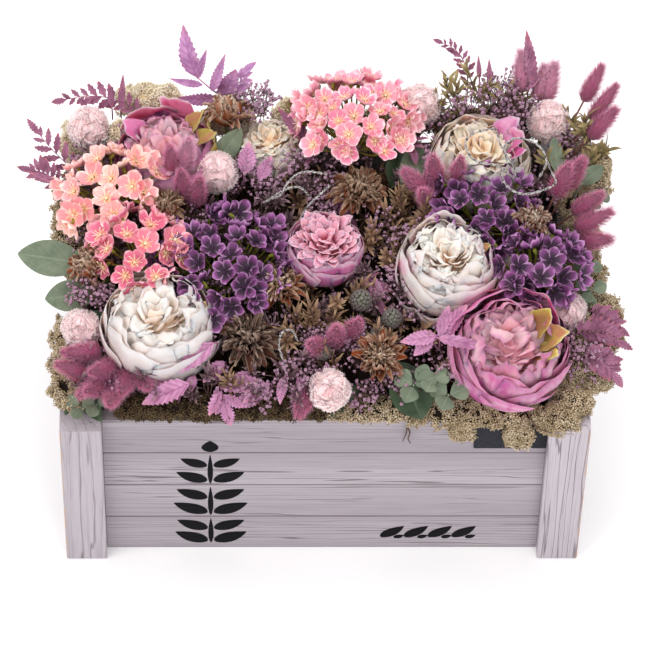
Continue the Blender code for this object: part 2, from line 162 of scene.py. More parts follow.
class Stock:
    """The surfaces of one piece, gathered before they become one mesh.

    Every point carries growth = (along the part, nearness to its edge, chance of the part) and depth.
    """

    def __init__(self):
        self.points, self.growth, self.depth, self.rims = [], [], [], []
        self.loops, self.totals, self.finish = [], [], []
        self.count = 0

    def faces(self, faces, finish):
        """Faces (n, m, corners) of point numbers."""
        n, m, corners = faces.shape
        self.loops.append(faces.reshape(-1))
        self.totals.append(np.full(n * m, corners))
        self.finish.append(np.full(n * m, finish))

    def add(self, points, faces, growth, depth, finish=0, rim=False):
        """points (n, v, 3) of n equal parts, faces (m, 3 or 4) of one part, growth (n, v, 3), depth (n, v).
        An edge between two rim points is a sharp one. Returns the number of each part's first point."""
        n, v = points.shape[:2]
        starts = self.count + np.arange(n)[:, None, None] * v
        self.faces(faces[None] + starts, finish)
        self.points.append(points.reshape(-1, 3))
        self.growth.append(np.broadcast_to(growth, (n, v, 3)).reshape(-1, 3))
        self.depth.append(np.broadcast_to(depth, (n, v)).reshape(-1))
        self.rims.append(np.broadcast_to(rim, (n, v)).reshape(-1))
        self.count += n * v
        return starts

    def sheets(self, grid, thickness, chance, depth=0.0, finish=0):
        """Closed thin sheets from grids (n, rows, columns, 3): the sheet's middle plus and minus half the
        thickness along its normal, falling to nothing at the border, where both sides share their points."""
        n, rows, columns = grid.shape[:3]
        normal = unit(np.cross(np.gradient(grid, axis=2), np.gradient(grid, axis=1)))
        inner = np.zeros((rows, columns), bool)
        inner[1:-1, 1:-1] = True
        half = thickness / 2 * normal * inner[None, :, :, None]
        points = np.concatenate([(grid + half).reshape(n, -1, 3), (grid - half)[:, inner]], axis=1)
        front = np.arange(rows * columns).reshape(rows, columns)
        back = front.copy()
        back[inner] = rows * columns + np.arange(inner.sum())
        growth = np.zeros((n, rows, columns, 3))
        growth[..., 0] = np.linspace(0, 1, rows)[:, None]
        growth[..., 1] = np.abs(np.linspace(-1, 1, columns))
        growth[..., 2] = np.reshape(chance, (-1, 1, 1))
        growth = np.concatenate([growth.reshape(n, -1, 3), growth[:, inner]], axis=1)
        rim = np.concatenate([~inner.reshape(-1), np.zeros(inner.sum(), bool)])
        self.add(points, np.concatenate([quads_of(front), quads_of(back)[:, ::-1]]), growth,
                 np.reshape(depth, (-1, 1)), finish, rim)

    def tubes(self, paths, radii, sides, chance=0.5, depth=0.0, finish=0):
        """Closed tubes: a circle of the given radius carried along each path (n, k, 3), with a point at
        each end."""
        n, k = paths.shape[:2]
        radii = np.broadcast_to(radii, (n, k))
        tangent = unit(np.gradient(paths, axis=1))
        guide = frames_from(paths[:, -1] - paths[:, 0] + 1e-9)[:, :, 0][:, None]
        side = unit(guide - (guide * tangent).sum(-1, keepdims=True) * tangent)
        other = np.cross(tangent, side)
        turn = np.arange(sides) * TURN / sides
        ring = side[:, :, None] * np.cos(turn)[:, None] + other[:, :, None] * np.sin(turn)[:, None]
        skin = paths[:, :, None] + ring * radii[:, :, None, None]
        ends = paths[:, [0, -1]] + tangent[:, [0, -1]] * radii[:, [0, -1], None] * [[[-0.5], [0.5]]]
        index = rings_of(k, sides)
        growth = np.zeros((n, k * sides + 2, 3))
        growth[..., 0] = np.concatenate([np.repeat(np.linspace(0, 1, k), sides), [0, 1]])
        growth[..., 2] = np.reshape(chance, (-1, 1))
        starts = self.add(np.concatenate([skin.reshape(n, -1, 3), ends], axis=1), quads_of(index), growth,
                          np.reshape(depth, (-1, 1)), finish)
        foot = np.stack([index[0, 1:], index[0, :-1], np.full(sides, k * sides)], -1)
        tip = np.stack([index[-1, :-1], index[-1, 1:], np.full(sides, k * sides + 1)], -1)
        self.faces(np.concatenate([foot, tip])[None] + starts, finish)

    def stalk(self, path, radius, sides=6, finish=0):
        """One tube along a path (k, 3); its radius is in mm."""
        self.tubes(path[None], np.atleast_2d(radius) * MM, sides, finish=finish)

    def stem(self, foot, top, radius, finish=1):
        """A straight stem, a little thicker at its foot; its radius is in mm."""
        self.stalk(np.linspace(foot, top, 6), radius * np.linspace(1.15, 0.85, 6), 8, finish)

    def ball(self, middle, radius, along, depth, finish=0, rings=10, sides=14):
        """A closed ball: circles of latitude, joined, with a many-sided cap at either end."""
        slant, turn = np.meshgrid(np.linspace(0.12, math.pi - 0.12, rings), np.arange(sides) * TURN / sides,
                                  indexing="ij")
        shell = sphere(slant, turn) * radius + middle
        index = rings_of(rings, sides)
        growth = np.array([along, 0.0, 0.5])
        start = self.add(shell.reshape(1, -1, 3), quads_of(index)[:, [0, 3, 2, 1]], growth, depth, finish)
        self.faces(index[:1, None, :-1] + start, finish)
        self.faces(index[-1:, None, -2::-1] + start, finish)

    def scatter(self, shape, frames, places, scales, chance, depth=0.0):
        """One shape, given as points, faces and growth, set on many frames: scaled, turned and moved to its
        place."""
        points, faces, growth = shape
        points = np.einsum("nij,vj->nvi", frames, points) * np.reshape(scales, (-1, 1, 1)) + places[:, None]
        grown = np.repeat(growth[None].astype(float), len(points), axis=0)
        grown[..., 2] = np.reshape(chance, (-1, 1))
        self.add(points, faces, grown, np.reshape(depth, (-1, 1)))

    def transform(self, turn, place):
        """Turns all points by a rotation and moves them."""
        self.points = [points @ turn.T + place for points in self.points]

    def mesh_object(self, name, materials):
        """One mesh object of everything gathered, smooth shaded, with growth and depth as point
        attributes."""
        mesh = bpy.data.meshes.new(name)
        points, totals, loops = (np.concatenate(rows) for rows in (self.points, self.totals, self.loops))
        mesh.vertices.add(len(points))
        mesh.vertices.foreach_set("co", points.astype(np.float32).ravel())
        mesh.loops.add(len(loops))
        mesh.loops.foreach_set("vertex_index", loops.astype(np.int32))
        mesh.polygons.add(len(totals))
        mesh.polygons.foreach_set("loop_start", (np.cumsum(totals) - totals).astype(np.int32))
        mesh.polygons.foreach_set("loop_total", totals.astype(np.int32))
        mesh.polygons.foreach_set("material_index", np.concatenate(self.finish).astype(np.int32))
        mesh.update(calc_edges=True)
        growth = mesh.attributes.new("growth", "FLOAT_VECTOR", "POINT")
        growth.data.foreach_set("vector", np.concatenate(self.growth).astype(np.float32).ravel())
        depth = mesh.attributes.new("depth", "FLOAT", "POINT")
        depth.data.foreach_set("value", np.concatenate(self.depth).astype(np.float32))
        mesh.shade_smooth()
        ends = np.empty(2 * len(mesh.edges), np.int32)
        mesh.edges.foreach_get("vertices", ends)
        sharp = mesh.attributes.new("sharp_edge", "BOOLEAN", "EDGE")
        sharp.data.foreach_set("value", np.concatenate(self.rims)[ends.reshape(-1, 2)].all(1))
        for material in materials:
            mesh.materials.append(material)
        made = bpy.data.objects.new(name, mesh)
        bpy.context.scene.collection.objects.link(made)
        return made

    def piece(self, name, materials, slot, *nodes):
        """Makes the mesh object, which rides on the root body and stands for the given nodes."""
        made = self.mesh_object(name, materials)
        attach(made, "root")
        if nodes:
            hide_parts(*nodes)


# ---------------------------------------------------------------- finishes

def linear(colour, shade=1.0):
    """A colour as seen, its values times a shade, in linear light."""
    seen = np.array(colour) * shade / 255
    return tuple(np.where(seen <= 0.04045, seen / 12.92, ((seen + 0.055) / 1.055) ** 2.4)) + (1.0,)


def blended(a, b, share=0.5):
    """Two colours as seen, mixed in linear light."""
    return tuple(x * (1 - share) + y * share for x, y in zip(linear(a), linear(b)))


class Finish:
    """A node material under construction. Each method adds a node and returns its output. A colour is a
    node's output, three values as seen, or four in linear light."""

    def __init__(self, name, roughness, specular=0.3, **others):
        self.material = bpy.data.materials.new(name)
        self.material.use_nodes = True
        self.tree = self.material.node_tree
        self.shader = self.tree.nodes["Principled BSDF"]
        settings = {"Roughness": roughness, "Specular IOR Level": specular, **others}
        for setting, value in settings.items():
            self.shader.inputs[setting.replace("_", " ")].default_value = value

    def set(self, socket, value):
        if isinstance(value, bpy.types.NodeSocket):
            self.tree.links.new(value, socket)
        else:
            socket.default_value = value

    def node(self, kind, **inputs):
        made = self.tree.nodes.new(kind)
        for name, value in inputs.items():
            self.set(made.inputs[name.replace("_", " ")], value)
        return made

    def parts(self, vector):
        """The three parts of a vector as outputs."""
        return list(self.node("ShaderNodeSeparateXYZ", Vector=vector).outputs)

    def growth(self):
        """along, edge and chance as outputs."""
        source = self.node("ShaderNodeAttribute")
        source.attribute_name = "growth"
        return self.parts(source.outputs["Vector"])

    def depth(self):
        source = self.node("ShaderNodeAttribute")
        source.attribute_name = "depth"
        return source.outputs["Fac"]

    def place(self, stretch=(1, 1, 1)):
        """The object's own coordinates, stretched."""
        source = self.node("ShaderNodeTexCoord")
        return self.node("ShaderNodeMapping", Vector=source.outputs["Object"], Scale=stretch).outputs[0]

    def noise(self, scale, detail=2.0, stretch=(1, 1, 1), distortion=0.0, rough=0.5):
        return self.node("ShaderNodeTexNoise", Vector=self.place(stretch), Scale=scale, Detail=detail,
                         Distortion=distortion, Roughness=rough).outputs["Fac"]

    def maths(self, operation, a, b=0.5):
        made = self.tree.nodes.new("ShaderNodeMath")
        made.operation = operation
        self.set(made.inputs[0], a)
        self.set(made.inputs[1], b)
        return made.outputs[0]

    def times(self, a, b):
        return self.maths("MULTIPLY", a, b)

    def waves(self, value, rate):
        """The sine of rate times the value."""
        return self.maths("SINE", self.times(value, rate))

    def ribs(self, along, edge, slant, rate):
        """Waves along a leaf that run slantwise from its midrib."""
        return self.waves(self.maths("SUBTRACT", along, self.times(edge, slant)), rate)

    def spread(self, value, low, high, to_low=0.0, to_high=1.0):
        """value from low..high to to_low..to_high, clamped."""
        return self.node("ShaderNodeMapRange", Value=value, From_Min=low, From_Max=high, To_Min=to_low,
                         To_Max=to_high).outputs[0]

    def ramp(self, factor, *stops):
        """Colours at rising positions of the factor."""
        made = self.node("ShaderNodeValToRGB", Fac=factor)
        elements = made.color_ramp.elements
        while len(elements) < len(stops):
            elements.new(0.5)
        for element, (position, colour) in zip(elements, stops):
            element.position = position
            element.color = linear(colour) if len(colour) == 3 else colour
        return made.outputs["Color"]

    def mix(self, factor, a, b):
        """Colour a, with a share of colour b given by the factor."""
        made = self.tree.nodes.new("ShaderNodeMix")
        made.data_type = "RGBA"
        sockets = {socket.identifier: socket for socket in made.inputs}
        self.set(sockets["Factor_Float"], factor)
        for name, value in (("A_Color", a), ("B_Color", b)):
            self.set(sockets[name], linear(value) if isinstance(value, tuple) and len(value) == 3 else value)
        return next(socket for socket in made.outputs if socket.identifier == "Result_Color")

    def colour(self, value):
        self.set(self.shader.inputs["Base Color"], value)

    def bump(self, height, relief, strength=1.0):
        """Relief by a height, its full depth in mm."""
        made = self.node("ShaderNodeBump", Height=height, Distance=relief * MM, Strength=strength)
        self.set(self.shader.inputs["Normal"], made.outputs[0])


def mottled(name, roughness, low, high, noise, span=(0.3, 0.7), relief=None, specular=0.3, **others):
    """Two tones, laid over one another by noise between the two ends of a span. Relief is given as its
    noise, its height in mm and its strength."""
    made = Finish(name, roughness, specular, **others)
    made.colour(made.ramp(made.noise(*noise), (span[0], low), (span[1], high)))
    if relief:
        made.bump(made.noise(*relief[0]), *relief[1:])
    return made.material


def tinted(name, low, high, scale=200, roughness=0.6, tip=None):
    """Two tones mottled together, some parts lighter; a third tone, if given, towards the parts' tips."""
    made = Finish(name, roughness)
    along, _, chance = made.growth()
    colour = made.ramp(made.noise(scale, 3), (0.3, low), (0.7, high))
    colour = made.mix(made.spread(chance, 0, 1, 0, 0.35), colour, high)
    if tip:
        colour = made.mix(made.spread(along, 0.35, 1.0), colour, tip)
    made.colour(colour)
    made.bump(made.noise(scale * 3, 2), 0.3, 0.2)
    return made.material


# ---------------------------------------------------------------- studio

CAMERA_PLACE = (-0.0613, -2.0760, 3.5972)
CAMERA_DOWN = math.radians(59.05)  # below the horizon
CAMERA_RIGHT = math.radians(0.866)  # turned about its own upright
SENSOR = 36  # mm
LENS = 290.4  # mm
LAMPS = (  # name, place, size, power, colour
    ("key", (-1.3, -0.9, 2.2), 1.5, 23, (1, 0.985, 0.97)),
    ("top", (0.3, 0.9, 2.4), 1.8, 28, (1, 0.99, 0.99)),
    ("front", (0.9, -2.3, 1.5), 1.4, 16, (0.98, 0.98, 1)),
)
LAMPS_AIM = (0, 0, 0.15)
FLOOR_REACH = 4  # metres each way
FLOOR_LINES = 9  # points along a side
FLOOR_DROP = 0.3 * MM  # below the crate's feet


def studio():
    """Camera, even pale light from all round, three soft lamps and a plain paper floor."""
    scene = bpy.context.scene
    scene.view_settings.view_transform = "Standard"
    camera = bpy.data.cameras.new("camera")
    camera.lens, camera.sensor_width = LENS, SENSOR
    held = bpy.data.objects.new("camera", camera)
    scene.collection.objects.link(held)
    tilt = Matrix.Rotation(math.pi / 2 - CAMERA_DOWN, 4, "X") @ Matrix.Rotation(-CAMERA_RIGHT, 4, "Y")
    held.matrix_world = Matrix.Translation(CAMERA_PLACE) @ tilt
    scene.camera = held

    scene.world = bpy.data.worlds.new("studio")
    scene.world.use_nodes = True
    sky = scene.world.node_tree.nodes["Background"].inputs
    sky["Color"].default_value = (1, 0.99, 0.985, 1)
    sky["Strength"].default_value = 0.78
    for name, place, size, power, colour in LAMPS:
        lamp = bpy.data.lights.new(name, "AREA")
        lamp.shape, lamp.size, lamp.energy, lamp.color = "DISK", size, power, colour
        hung = bpy.data.objects.new(name, lamp)
        scene.collection.objects.link(hung)
        aim = Vector(LAMPS_AIM) - Vector(place)
        hung.matrix_world = Matrix.Translation(place) @ aim.to_track_quat("-Z", "Y").to_matrix().to_4x4()

    floor = Stock()
    side = np.linspace(-FLOOR_REACH, FLOOR_REACH, FLOOR_LINES)
    x, y = np.meshgrid(side, side)
    grid = np.stack([x, y, np.full_like(x, -FLOOR_DROP)], -1).reshape(1, -1, 3)
    index = np.arange(FLOOR_LINES ** 2).reshape(FLOOR_LINES, FLOOR_LINES)
    floor.add(grid, quads_of(index), np.zeros(3), 0.0)
    paper = mottled("studio_paper", 0.9, (250, 249, 250), (254, 253, 254), (6, 3), (0, 1), specular=0.1,
                    Emission_Color=(0.94, 1, 0.98, 1), Emission_Strength=0.07)
    floor.mesh_object("studio_floor", [paper])


# ---------------------------------------------------------------- crate

GROOVE_STEP = 50 * MM  # from one groove of the boards to the next
WORN_FROM = (198.6 * MM, 133.6 * MM)  # farther out than this, across and back, the paint is rubbed off


def whitewashed(name, grain, across, shade, grooves=False):
    """Thin grey-white paint over softwood. The grain runs along one axis; its lines are a sine of the place
    across the grain, pushed to and fro by slow noise so that they swell and run together, and only partly
    show through. Where there are grooves, the paint is darker along them."""
    made = Finish(name, 0.72, 0.2)

    def along_grain(crossways, lengthways):
        stretch = [crossways] * 3
        stretch[grain] = lengthways
        return stretch

    def tone(*colour):
        return linear(colour, shade)

    sides = made.parts(made.place())
    slow = made.noise(0.3, 2, along_grain(60.0, 3.0))
    sway = made.noise(1.0, 3, along_grain(60.0, 3.0), 0.3)
    fibres = made.noise(1.0, 4, along_grain(900.0, 14.0), 0.0, 0.65)
    patches = made.noise(1.0, 2, along_grain(30.0, 1.5))
    across_at = made.maths("ADD", sides[across[0]], made.times(sides[across[1]], 0.8))
    pushed = made.maths("ADD", across_at, made.times(made.maths("ADD", sway, slow), 0.030))
    line = made.spread(made.waves(pushed, 1150.0), 0.84, 1.0)
    line = made.times(line, made.spread(patches, 0.38, 0.60, 0.15, 0.9))
    paint = made.ramp(made.noise(1.0, 4, along_grain(15.0, 0.75)), (0.3, tone(180, 170, 178)),
                      (0.7, tone(208, 199, 207)))
    paint = made.mix(line, paint, tone(124, 112, 118))
    paint = made.mix(made.spread(fibres, 0.50, 0.30, 0, 0.50), paint, tone(146, 134, 140))
    paint = made.mix(made.spread(fibres, 0.55, 0.75, 0, 0.40), paint, tone(220, 213, 218))
    dark = made.times(made.spread(fibres, 0.36, 0.26), made.spread(patches, 0.5, 0.7))
    paint = made.mix(made.times(dark, 0.6), paint, tone(104, 90, 92))
    if grooves:
        half = GROOVE_STEP / 2
        above = made.maths("MODULO", sides[2], GROOVE_STEP)
        beside = made.maths("ABSOLUTE", made.maths("SUBTRACT", above, half))
        # The paint is darker within 1.5 mm of each groove.
        groove_darkening = made.spread(beside, half - 1.5 * MM, half - 0.5 * MM)
        groove_darkening = made.times(groove_darkening, made.spread(sway, 0.3, 0.6, 0.45, 0.8))
        paint = made.mix(groove_darkening, paint, tone(126, 112, 114))
    worn = made.maths("MINIMUM", *(made.maths("SUBTRACT", made.maths("ABSOLUTE", side), edge)
                                   for side, edge in zip(sides, WORN_FROM)))
    wear = made.times(made.spread(worn, 0.0, 0.8 * MM), made.spread(made.noise(60, 4), 0.42, 0.58, 0.1, 0.9))
    made.colour(made.mix(wear, paint, (186, 150, 118)))
    made.bump(made.maths("ADD", made.times(fibres, 0.6), made.times(line, -0.5)), 0.5, 0.45)
    return made.material


def crate():
    """Gives the crate's own solids their finishes."""
    dressed = (
        (whitewashed("whitewash_upright", 2, (0, 1), 0.915),
         ("post_front_left", "post_front_right", "post_back_left", "post_back_right")),
        (whitewashed("whitewash_long", 0, (2, 1), 0.845, True), ("panel_front", "panel_back")),
        (whitewashed("whitewash_short", 1, (2, 0), 0.845, True), ("panel_left", "panel_right")),
        (mottled("birch_ply", 0.7, (168, 138, 98), (206, 178, 136), (1.0, 4, (8, 120, 120), 0.5)),
         ("bottom_board",)),
        (mottled("black_film", 0.35, (18, 18, 19), (34, 34, 36), (60, 3), specular=0.5), ("liner",)),
        (mottled("floral_foam", 0.95, (60, 74, 52), (92, 108, 78), (900, 2), relief=((1500, 1), 0.4)),
         ("foam_brick_left", "foam_brick_right")),
        (mottled("label_card", 0.75, (36, 37, 43), (47, 48, 55), (400, 3), relief=((2500, 2), 0.05, 0.4),
                 specular=0.12), ("label_plate",)),
    )
    for material, nodes in dressed:
        for node in nodes:
            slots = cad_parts[node].data.materials
            slots.clear()
            slots.append(material)


STENCIL_FACE = -124.6  # mm: a hair in front of the front panel's face
SPRIG_MIDDLE = -87  # mm across
SPRIG_STEMS = ((8, 39.5), (52.5, 45.0), (102.5, 45.0))  # mm: foot and length, cut through at each groove
SPRIG_PAIRS = (  # mm: height, length and width of each pair of leaves
    (10, 29, 15), (30, 27, 14), (56, 30, 15), (79, 27, 14), (106, 27, 14), (129, 23, 12),
)
ROW_LEFTS = np.linspace(46, 102, 4)  # mm: where the four small leaves of the row start
ROW_HEIGHT = 25.5  # mm


def stencils():
    """Generic black stencils: a tall sprig of paired leaves, and a row of small leaves."""
    black = Finish("stencil_paint", 0.85, 0.08)
    wear = black.noise(1.0, 4, (14, 900, 900), 0, 0.65)
    black.colour(black.ramp(wear, (0.28, (40, 38, 43)), (0.40, (14, 14, 17)), (0.8, (20, 20, 24))))
    black.bump(wear, 0.2, 0.3)
    stock, rng = Stock(), np.random.default_rng(5)

    def flat_leaves(across, height, heading, length, width):
        across, height, length, width = np.broadcast_arrays(np.atleast_1d(across), height, length, width)
        base = placed(np.column_stack([across, np.full(len(across), STENCIL_FACE), height]))
        heading = np.tile(unit(np.array([heading[0], 0.0, heading[1]])), (len(base), 1))
        leaves(stock, rng, base, heading, np.array([0.0, -1.0, 0.0]), placed(length), placed(width), teeth=9,
               fold=0, curl=0, blunt=0.8, thickness=0.3, flat=True)

    height, length, width = np.array(SPRIG_PAIRS).T
    for side in (-1, 1):
        flat_leaves(SPRIG_MIDDLE + 3 * side, height, (side, 0.62), length, width)
    foot, length = np.array(SPRIG_STEMS).T
    flat_leaves(SPRIG_MIDDLE, foot, (0, 1), length, 4.2)
    flat_leaves(SPRIG_MIDDLE, 151.5, (0, 1), 17, 13)
    flat_leaves(ROW_LEFTS, ROW_HEIGHT - 9, (1, 1), 25, 11)
    flat_leaves(ROW_LEFTS + 10, ROW_HEIGHT - 10, (1, 0.5), 9, 6)
    stock.piece("stencil_leaves", [black.material], "whitewashed_wood")


# ---------------------------------------------------------------- leaves

def leaves(stock, rng, base, heading, normal, length, width, teeth=6, tooth=0.0, fold=0.25, curl=0.2,
           pleat=0.0, blunt=0.75, columns=5, thickness=0.35, flat=False):
    """Leaves (n): the midrib leaves the base along the heading and curls off the face by the square of the
    way. The half width follows a sine closing at both ends, with every second row pulled in by the tooth;
    the halves fold up along the midrib, and pleats run slantwise to the margin. The thickness is in mm."""
    n, rows = len(base), 2 * teeth + 2
    t, s = (axis[..., None] for axis in sheet_plan(rows, columns))
    heading, normal = unit(heading), np.broadcast_to(normal, heading.shape)
    across = unit(np.cross(heading, normal))
    face = np.cross(across, heading)
    length, width = np.reshape(length, (-1, 1, 1, 1)), np.reshape(width, (-1, 1, 1, 1))
    curl = curl * rng.uniform(0.2, 1.6, (n, 1, 1, 1))
    outline = np.sin(math.pi * np.clip(0.04 + 0.955 * t ** blunt, 0, 1)) ** 0.85
    jag = 1 - tooth * (np.arange(rows) % 2)[None, :, None, None]
    half = 0.5 * width * outline * jag
    pleats = pleat * width * np.sin(TURN * teeth * (t - 0.12 * np.abs(s))) * np.abs(s) ** 0.7 * outline
    ahead = length * t + (0 if flat else 0.22) * width * np.abs(s) * outline
    wave = (0 if flat else 0.03) * length * np.sin(5 * t + rng.uniform(0, 6, (n, 1, 1, 1)))
    off = -curl * length * t ** 2 + fold * half * np.abs(s) + pleats + wave
    base, heading, across, face = (v[:, None, None] for v in (base, heading, across, face))
    stock.sheets(base + heading * ahead + across * half * s + face * off, thickness * MM, rng.random(n))


# ---------------------------------------------------------------- peonies

def points_of(node):
    return np.array([v.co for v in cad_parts[node].data.vertices])


def planted(node):
    """(centre, axis, radius, foot) of a turned flower: its foot is its lowest point, its crown the farthest
    from there, and its centre the place on that axis where it is widest."""
    points = points_of(node)
    away = np.linalg.norm(points - points[points[:, 2].argmin()], axis=1)
    foot = points[away < 6 * MM].mean(0)
    axis = unit(points[away.argmax()] - foot)
    height = (points - foot) @ axis
    away = np.linalg.norm(points - foot - height[:, None] * axis, axis=1)
    widest = away > away.max() - 0.4 * MM
    return foot + axis * height[widest].mean(), axis, away.max(), foot


def planted_foot(node):
    """Where the solid of a leaf, a frond or a bunch stands in the foam."""
    points = points_of(node)
    return points[points[:, 2] < points[:, 2].min() + 1 * MM].mean(0)


PETAL = 0.45 * MM  # thickness
CUP_START = 0.35  # angle from straight down at which the petals of a cup start


def cup_petals(rng, radius, count, rim, level, end, half, folds, fold, ragged, flare, phase):
    """Petals that wrap a flower as a cup. Along the petal an arc runs from the start angle to the end
    angle, measured from straight down; the distance from the axis is the reach times the sine, and the
    height is minus the reach times the cosine, so that the end lies at the rim, at its level. The sides
    stop short, which rounds the outline, and waves make it ragged. Folds move the petal in and out by a
    sine across it, flare opens the last of the rim, and one side is tucked inside its neighbour."""
    t, s = sheet_plan(13, 15)
    wild = strewn(rng, count)
    rise = level * math.sin(end) / rim + math.cos(end)
    reach = rim / math.sin(end) * radius * (1 + wild(0.05))
    waves = np.sin(4.3 * s + wild(3)) + 0.7 * np.sin(9.1 * s + wild(3)) + 0.4 * np.sin(17 * s + wild(3))
    outline = 1 - 0.18 * np.abs(s) ** 3.2 + ragged * waves
    angle = CUP_START + (end + wild(0.09) - CUP_START) * t * outline
    wide = half * (1 + wild(0.10)) * (0.35 + 0.65 * t ** 0.6)
    waves = np.sin(folds * math.pi * s + wild(3)) + 0.5 * np.sin(folds * 2.2 * math.pi * s + wild(3) + 2 * t)
    out = np.sin(angle) + fold * waves * t ** 1.6 + flare * t ** 7 + 0.05 * s * t
    height = rise - np.cos(angle) + 0.4 * fold * np.sin(folds * 1.6 * math.pi * s + wild(3)) * t ** 2
    theta = phase + np.arange(count)[:, None, None] * TURN / count + wild(0.10) + wide * s
    away = np.maximum(out, 0.02) * reach
    return np.stack([away * np.cos(theta), away * np.sin(theta), (height + wild(0.03)) * reach], -1)


def spoon_petals(rng, away, turn, facing, lean, base, length, width):
    """Crumpled petals (n), hollow across like spoons. Each stands at a distance and bearing from the axis,
    leans the way it faces, and leans further by the square of the way. Its sides stop short of its round
    frilled end, and crossing waves crumple it."""
    t, s = sheet_plan(11, 11)
    count, given = len(away), (away, turn, facing, lean, length, width)
    wild = strewn(rng, count)
    away, turn, facing, lean, length, width = (
        np.reshape(np.broadcast_to(value, count), (-1, 1, 1)) for value in given)
    bow = lean + (0.3 + wild(0.35)) * t ** 2
    frill = 1 + 0.05 * np.sin(4 * s + wild(3)) + 0.035 * np.sin(9 * s + wild(3))
    long = length * (1 - (0.30 * s ** 2 + 0.10 * s ** 6) * t) * frill
    wide = width * (0.40 + 0.60 * np.sin(math.pi * (0.08 + 0.60 * t)))
    crumple = 0.09 * np.sin(4 * s + 5 * t + wild(3)) + 0.04 * np.sin(7 * s - 6 * t + wild(3))
    crumple = crumple + 0.16 * np.sin(2.4 * s + wild(3))
    belly = wide * (0.42 * s ** 2 + crumple * t)
    out = long * t * np.sin(bow) - belly * np.cos(bow)
    up = base + long * t * np.cos(bow) + belly * np.sin(bow)
    return turned_out(out, wide * s, facing, up) + turned_out(away, 0, turn, 0 * away)


def heart_petals(rng, count, radius, spread, base):
    """Spoon petals over a disc, by the golden angle, leaning away from the middle more the farther out."""
    out = np.sqrt((np.arange(count) + 0.3) / count)
    turn = golden(count) + rng.uniform(-0.3, 0.3, count)
    lean = 0.62 * out + rng.uniform(-0.2, 0.2, count)
    long = 0.48 * radius * rng.uniform(0.84, 1.16, count) * (1 - 0.16 * out ** 2)
    facing = turn + rng.uniform(-0.6, 0.6, count)
    return spoon_petals(rng, spread * radius * out, turn, facing, lean, base * radius, long,
                        0.16 * radius * rng.uniform(0.7, 1.3, count))


def petal_finish(name, outer, rim, foot, heart, crevice_shade, streak=None):
    """Petal colour by place. By depth: outer petals to heart petals. Along a petal: the foot colour low down,
    painted shade where the outer petals sit inside the cup, which also tints the veins; low on the heart
    petals the crevice colour, painted warm shade in the heart's crevices; a pale thin rim at the end, and
    streaks of a stronger tint."""
    made = Finish(name, 0.6, 0.25, Subsurface_Weight=0.75, Subsurface_Radius=(1.0, 0.7, 0.55),
                  Subsurface_Scale=3 * MM)
    along, edge, chance = made.growth()
    depth = made.depth()
    colour = made.ramp(depth, (0.1, outer), (0.45, blended(outer, heart)), (0.8, heart))
    # Painted shade: the foot colour low on the outer petals, inside the cup.
    low = made.times(made.spread(along, 0.5, 0.1), made.spread(depth, 0.6, 0.3, 0, 0.8))
    colour = made.mix(low, colour, foot)
    if streak:
        cloud = made.spread(made.noise(1.0, 3, (55, 55, 30), 0.4), 0.47, 0.62)
        colour = made.mix(made.times(cloud, made.spread(depth, 0.75, 0.35, 0.15, 0.9)), colour, streak)
    veins = made.noise(1.0, 3, (420, 420, 80), 0.5)
    colour = made.mix(made.spread(veins, 0.42, 0.7, 0, 0.18), colour, foot)
    border = made.maths("MAXIMUM", made.spread(along, 0.88, 0.98),
                        made.times(made.spread(edge, 0.88, 1.0), made.spread(along, 0.3, 0.6)))
    colour = made.mix(made.times(border, 0.75), colour, rim)
    # Painted warm shade: the crevice colour low on the heart petals, between them.
    crevice_shade_mask = made.times(made.spread(along, 0.62, 0.15), made.spread(depth, 0.5, 0.8))
    made.colour(made.mix(made.times(crevice_shade_mask, made.spread(chance, 0, 1, 0.5, 1)), colour, crevice_shade))
    made.bump(made.noise(1.0, 3, (520, 520, 150), 0.6), 0.25, 0.3)
    return made.material


# One ring of petals to a line, from the guard petals inwards. Rim and level place its rim, in radii from the
# axis and above the centre: count, rim, level, end angle, half width, folds, fold, ragged, flare, depth
PETAL_RINGS = (
    (5, 0.94, 0.13, 1.78, 0.86, 1.2, 0.022, 0.010, 0.012, 0.0),
    (5, 0.915, 0.23, 1.88, 0.84, 1.4, 0.026, 0.012, 0.010, 0.1),
    (5, 0.84, 0.34, 2.02, 0.84, 1.4, 0.036, 0.018, 0.005, 0.25),
    (5, 0.70, 0.42, 2.14, 0.80, 1.8, 0.050, 0.030, 0.0, 0.4),
    (6, 0.58, 0.46, 2.20, 0.70, 2.0, 0.070, 0.040, 0.0, 0.6),
)
SINGLE_FOLDS = (1.3, 0.04, 0.015, 0.03)  # folds, fold, ragged and flare of a petal that stands alone


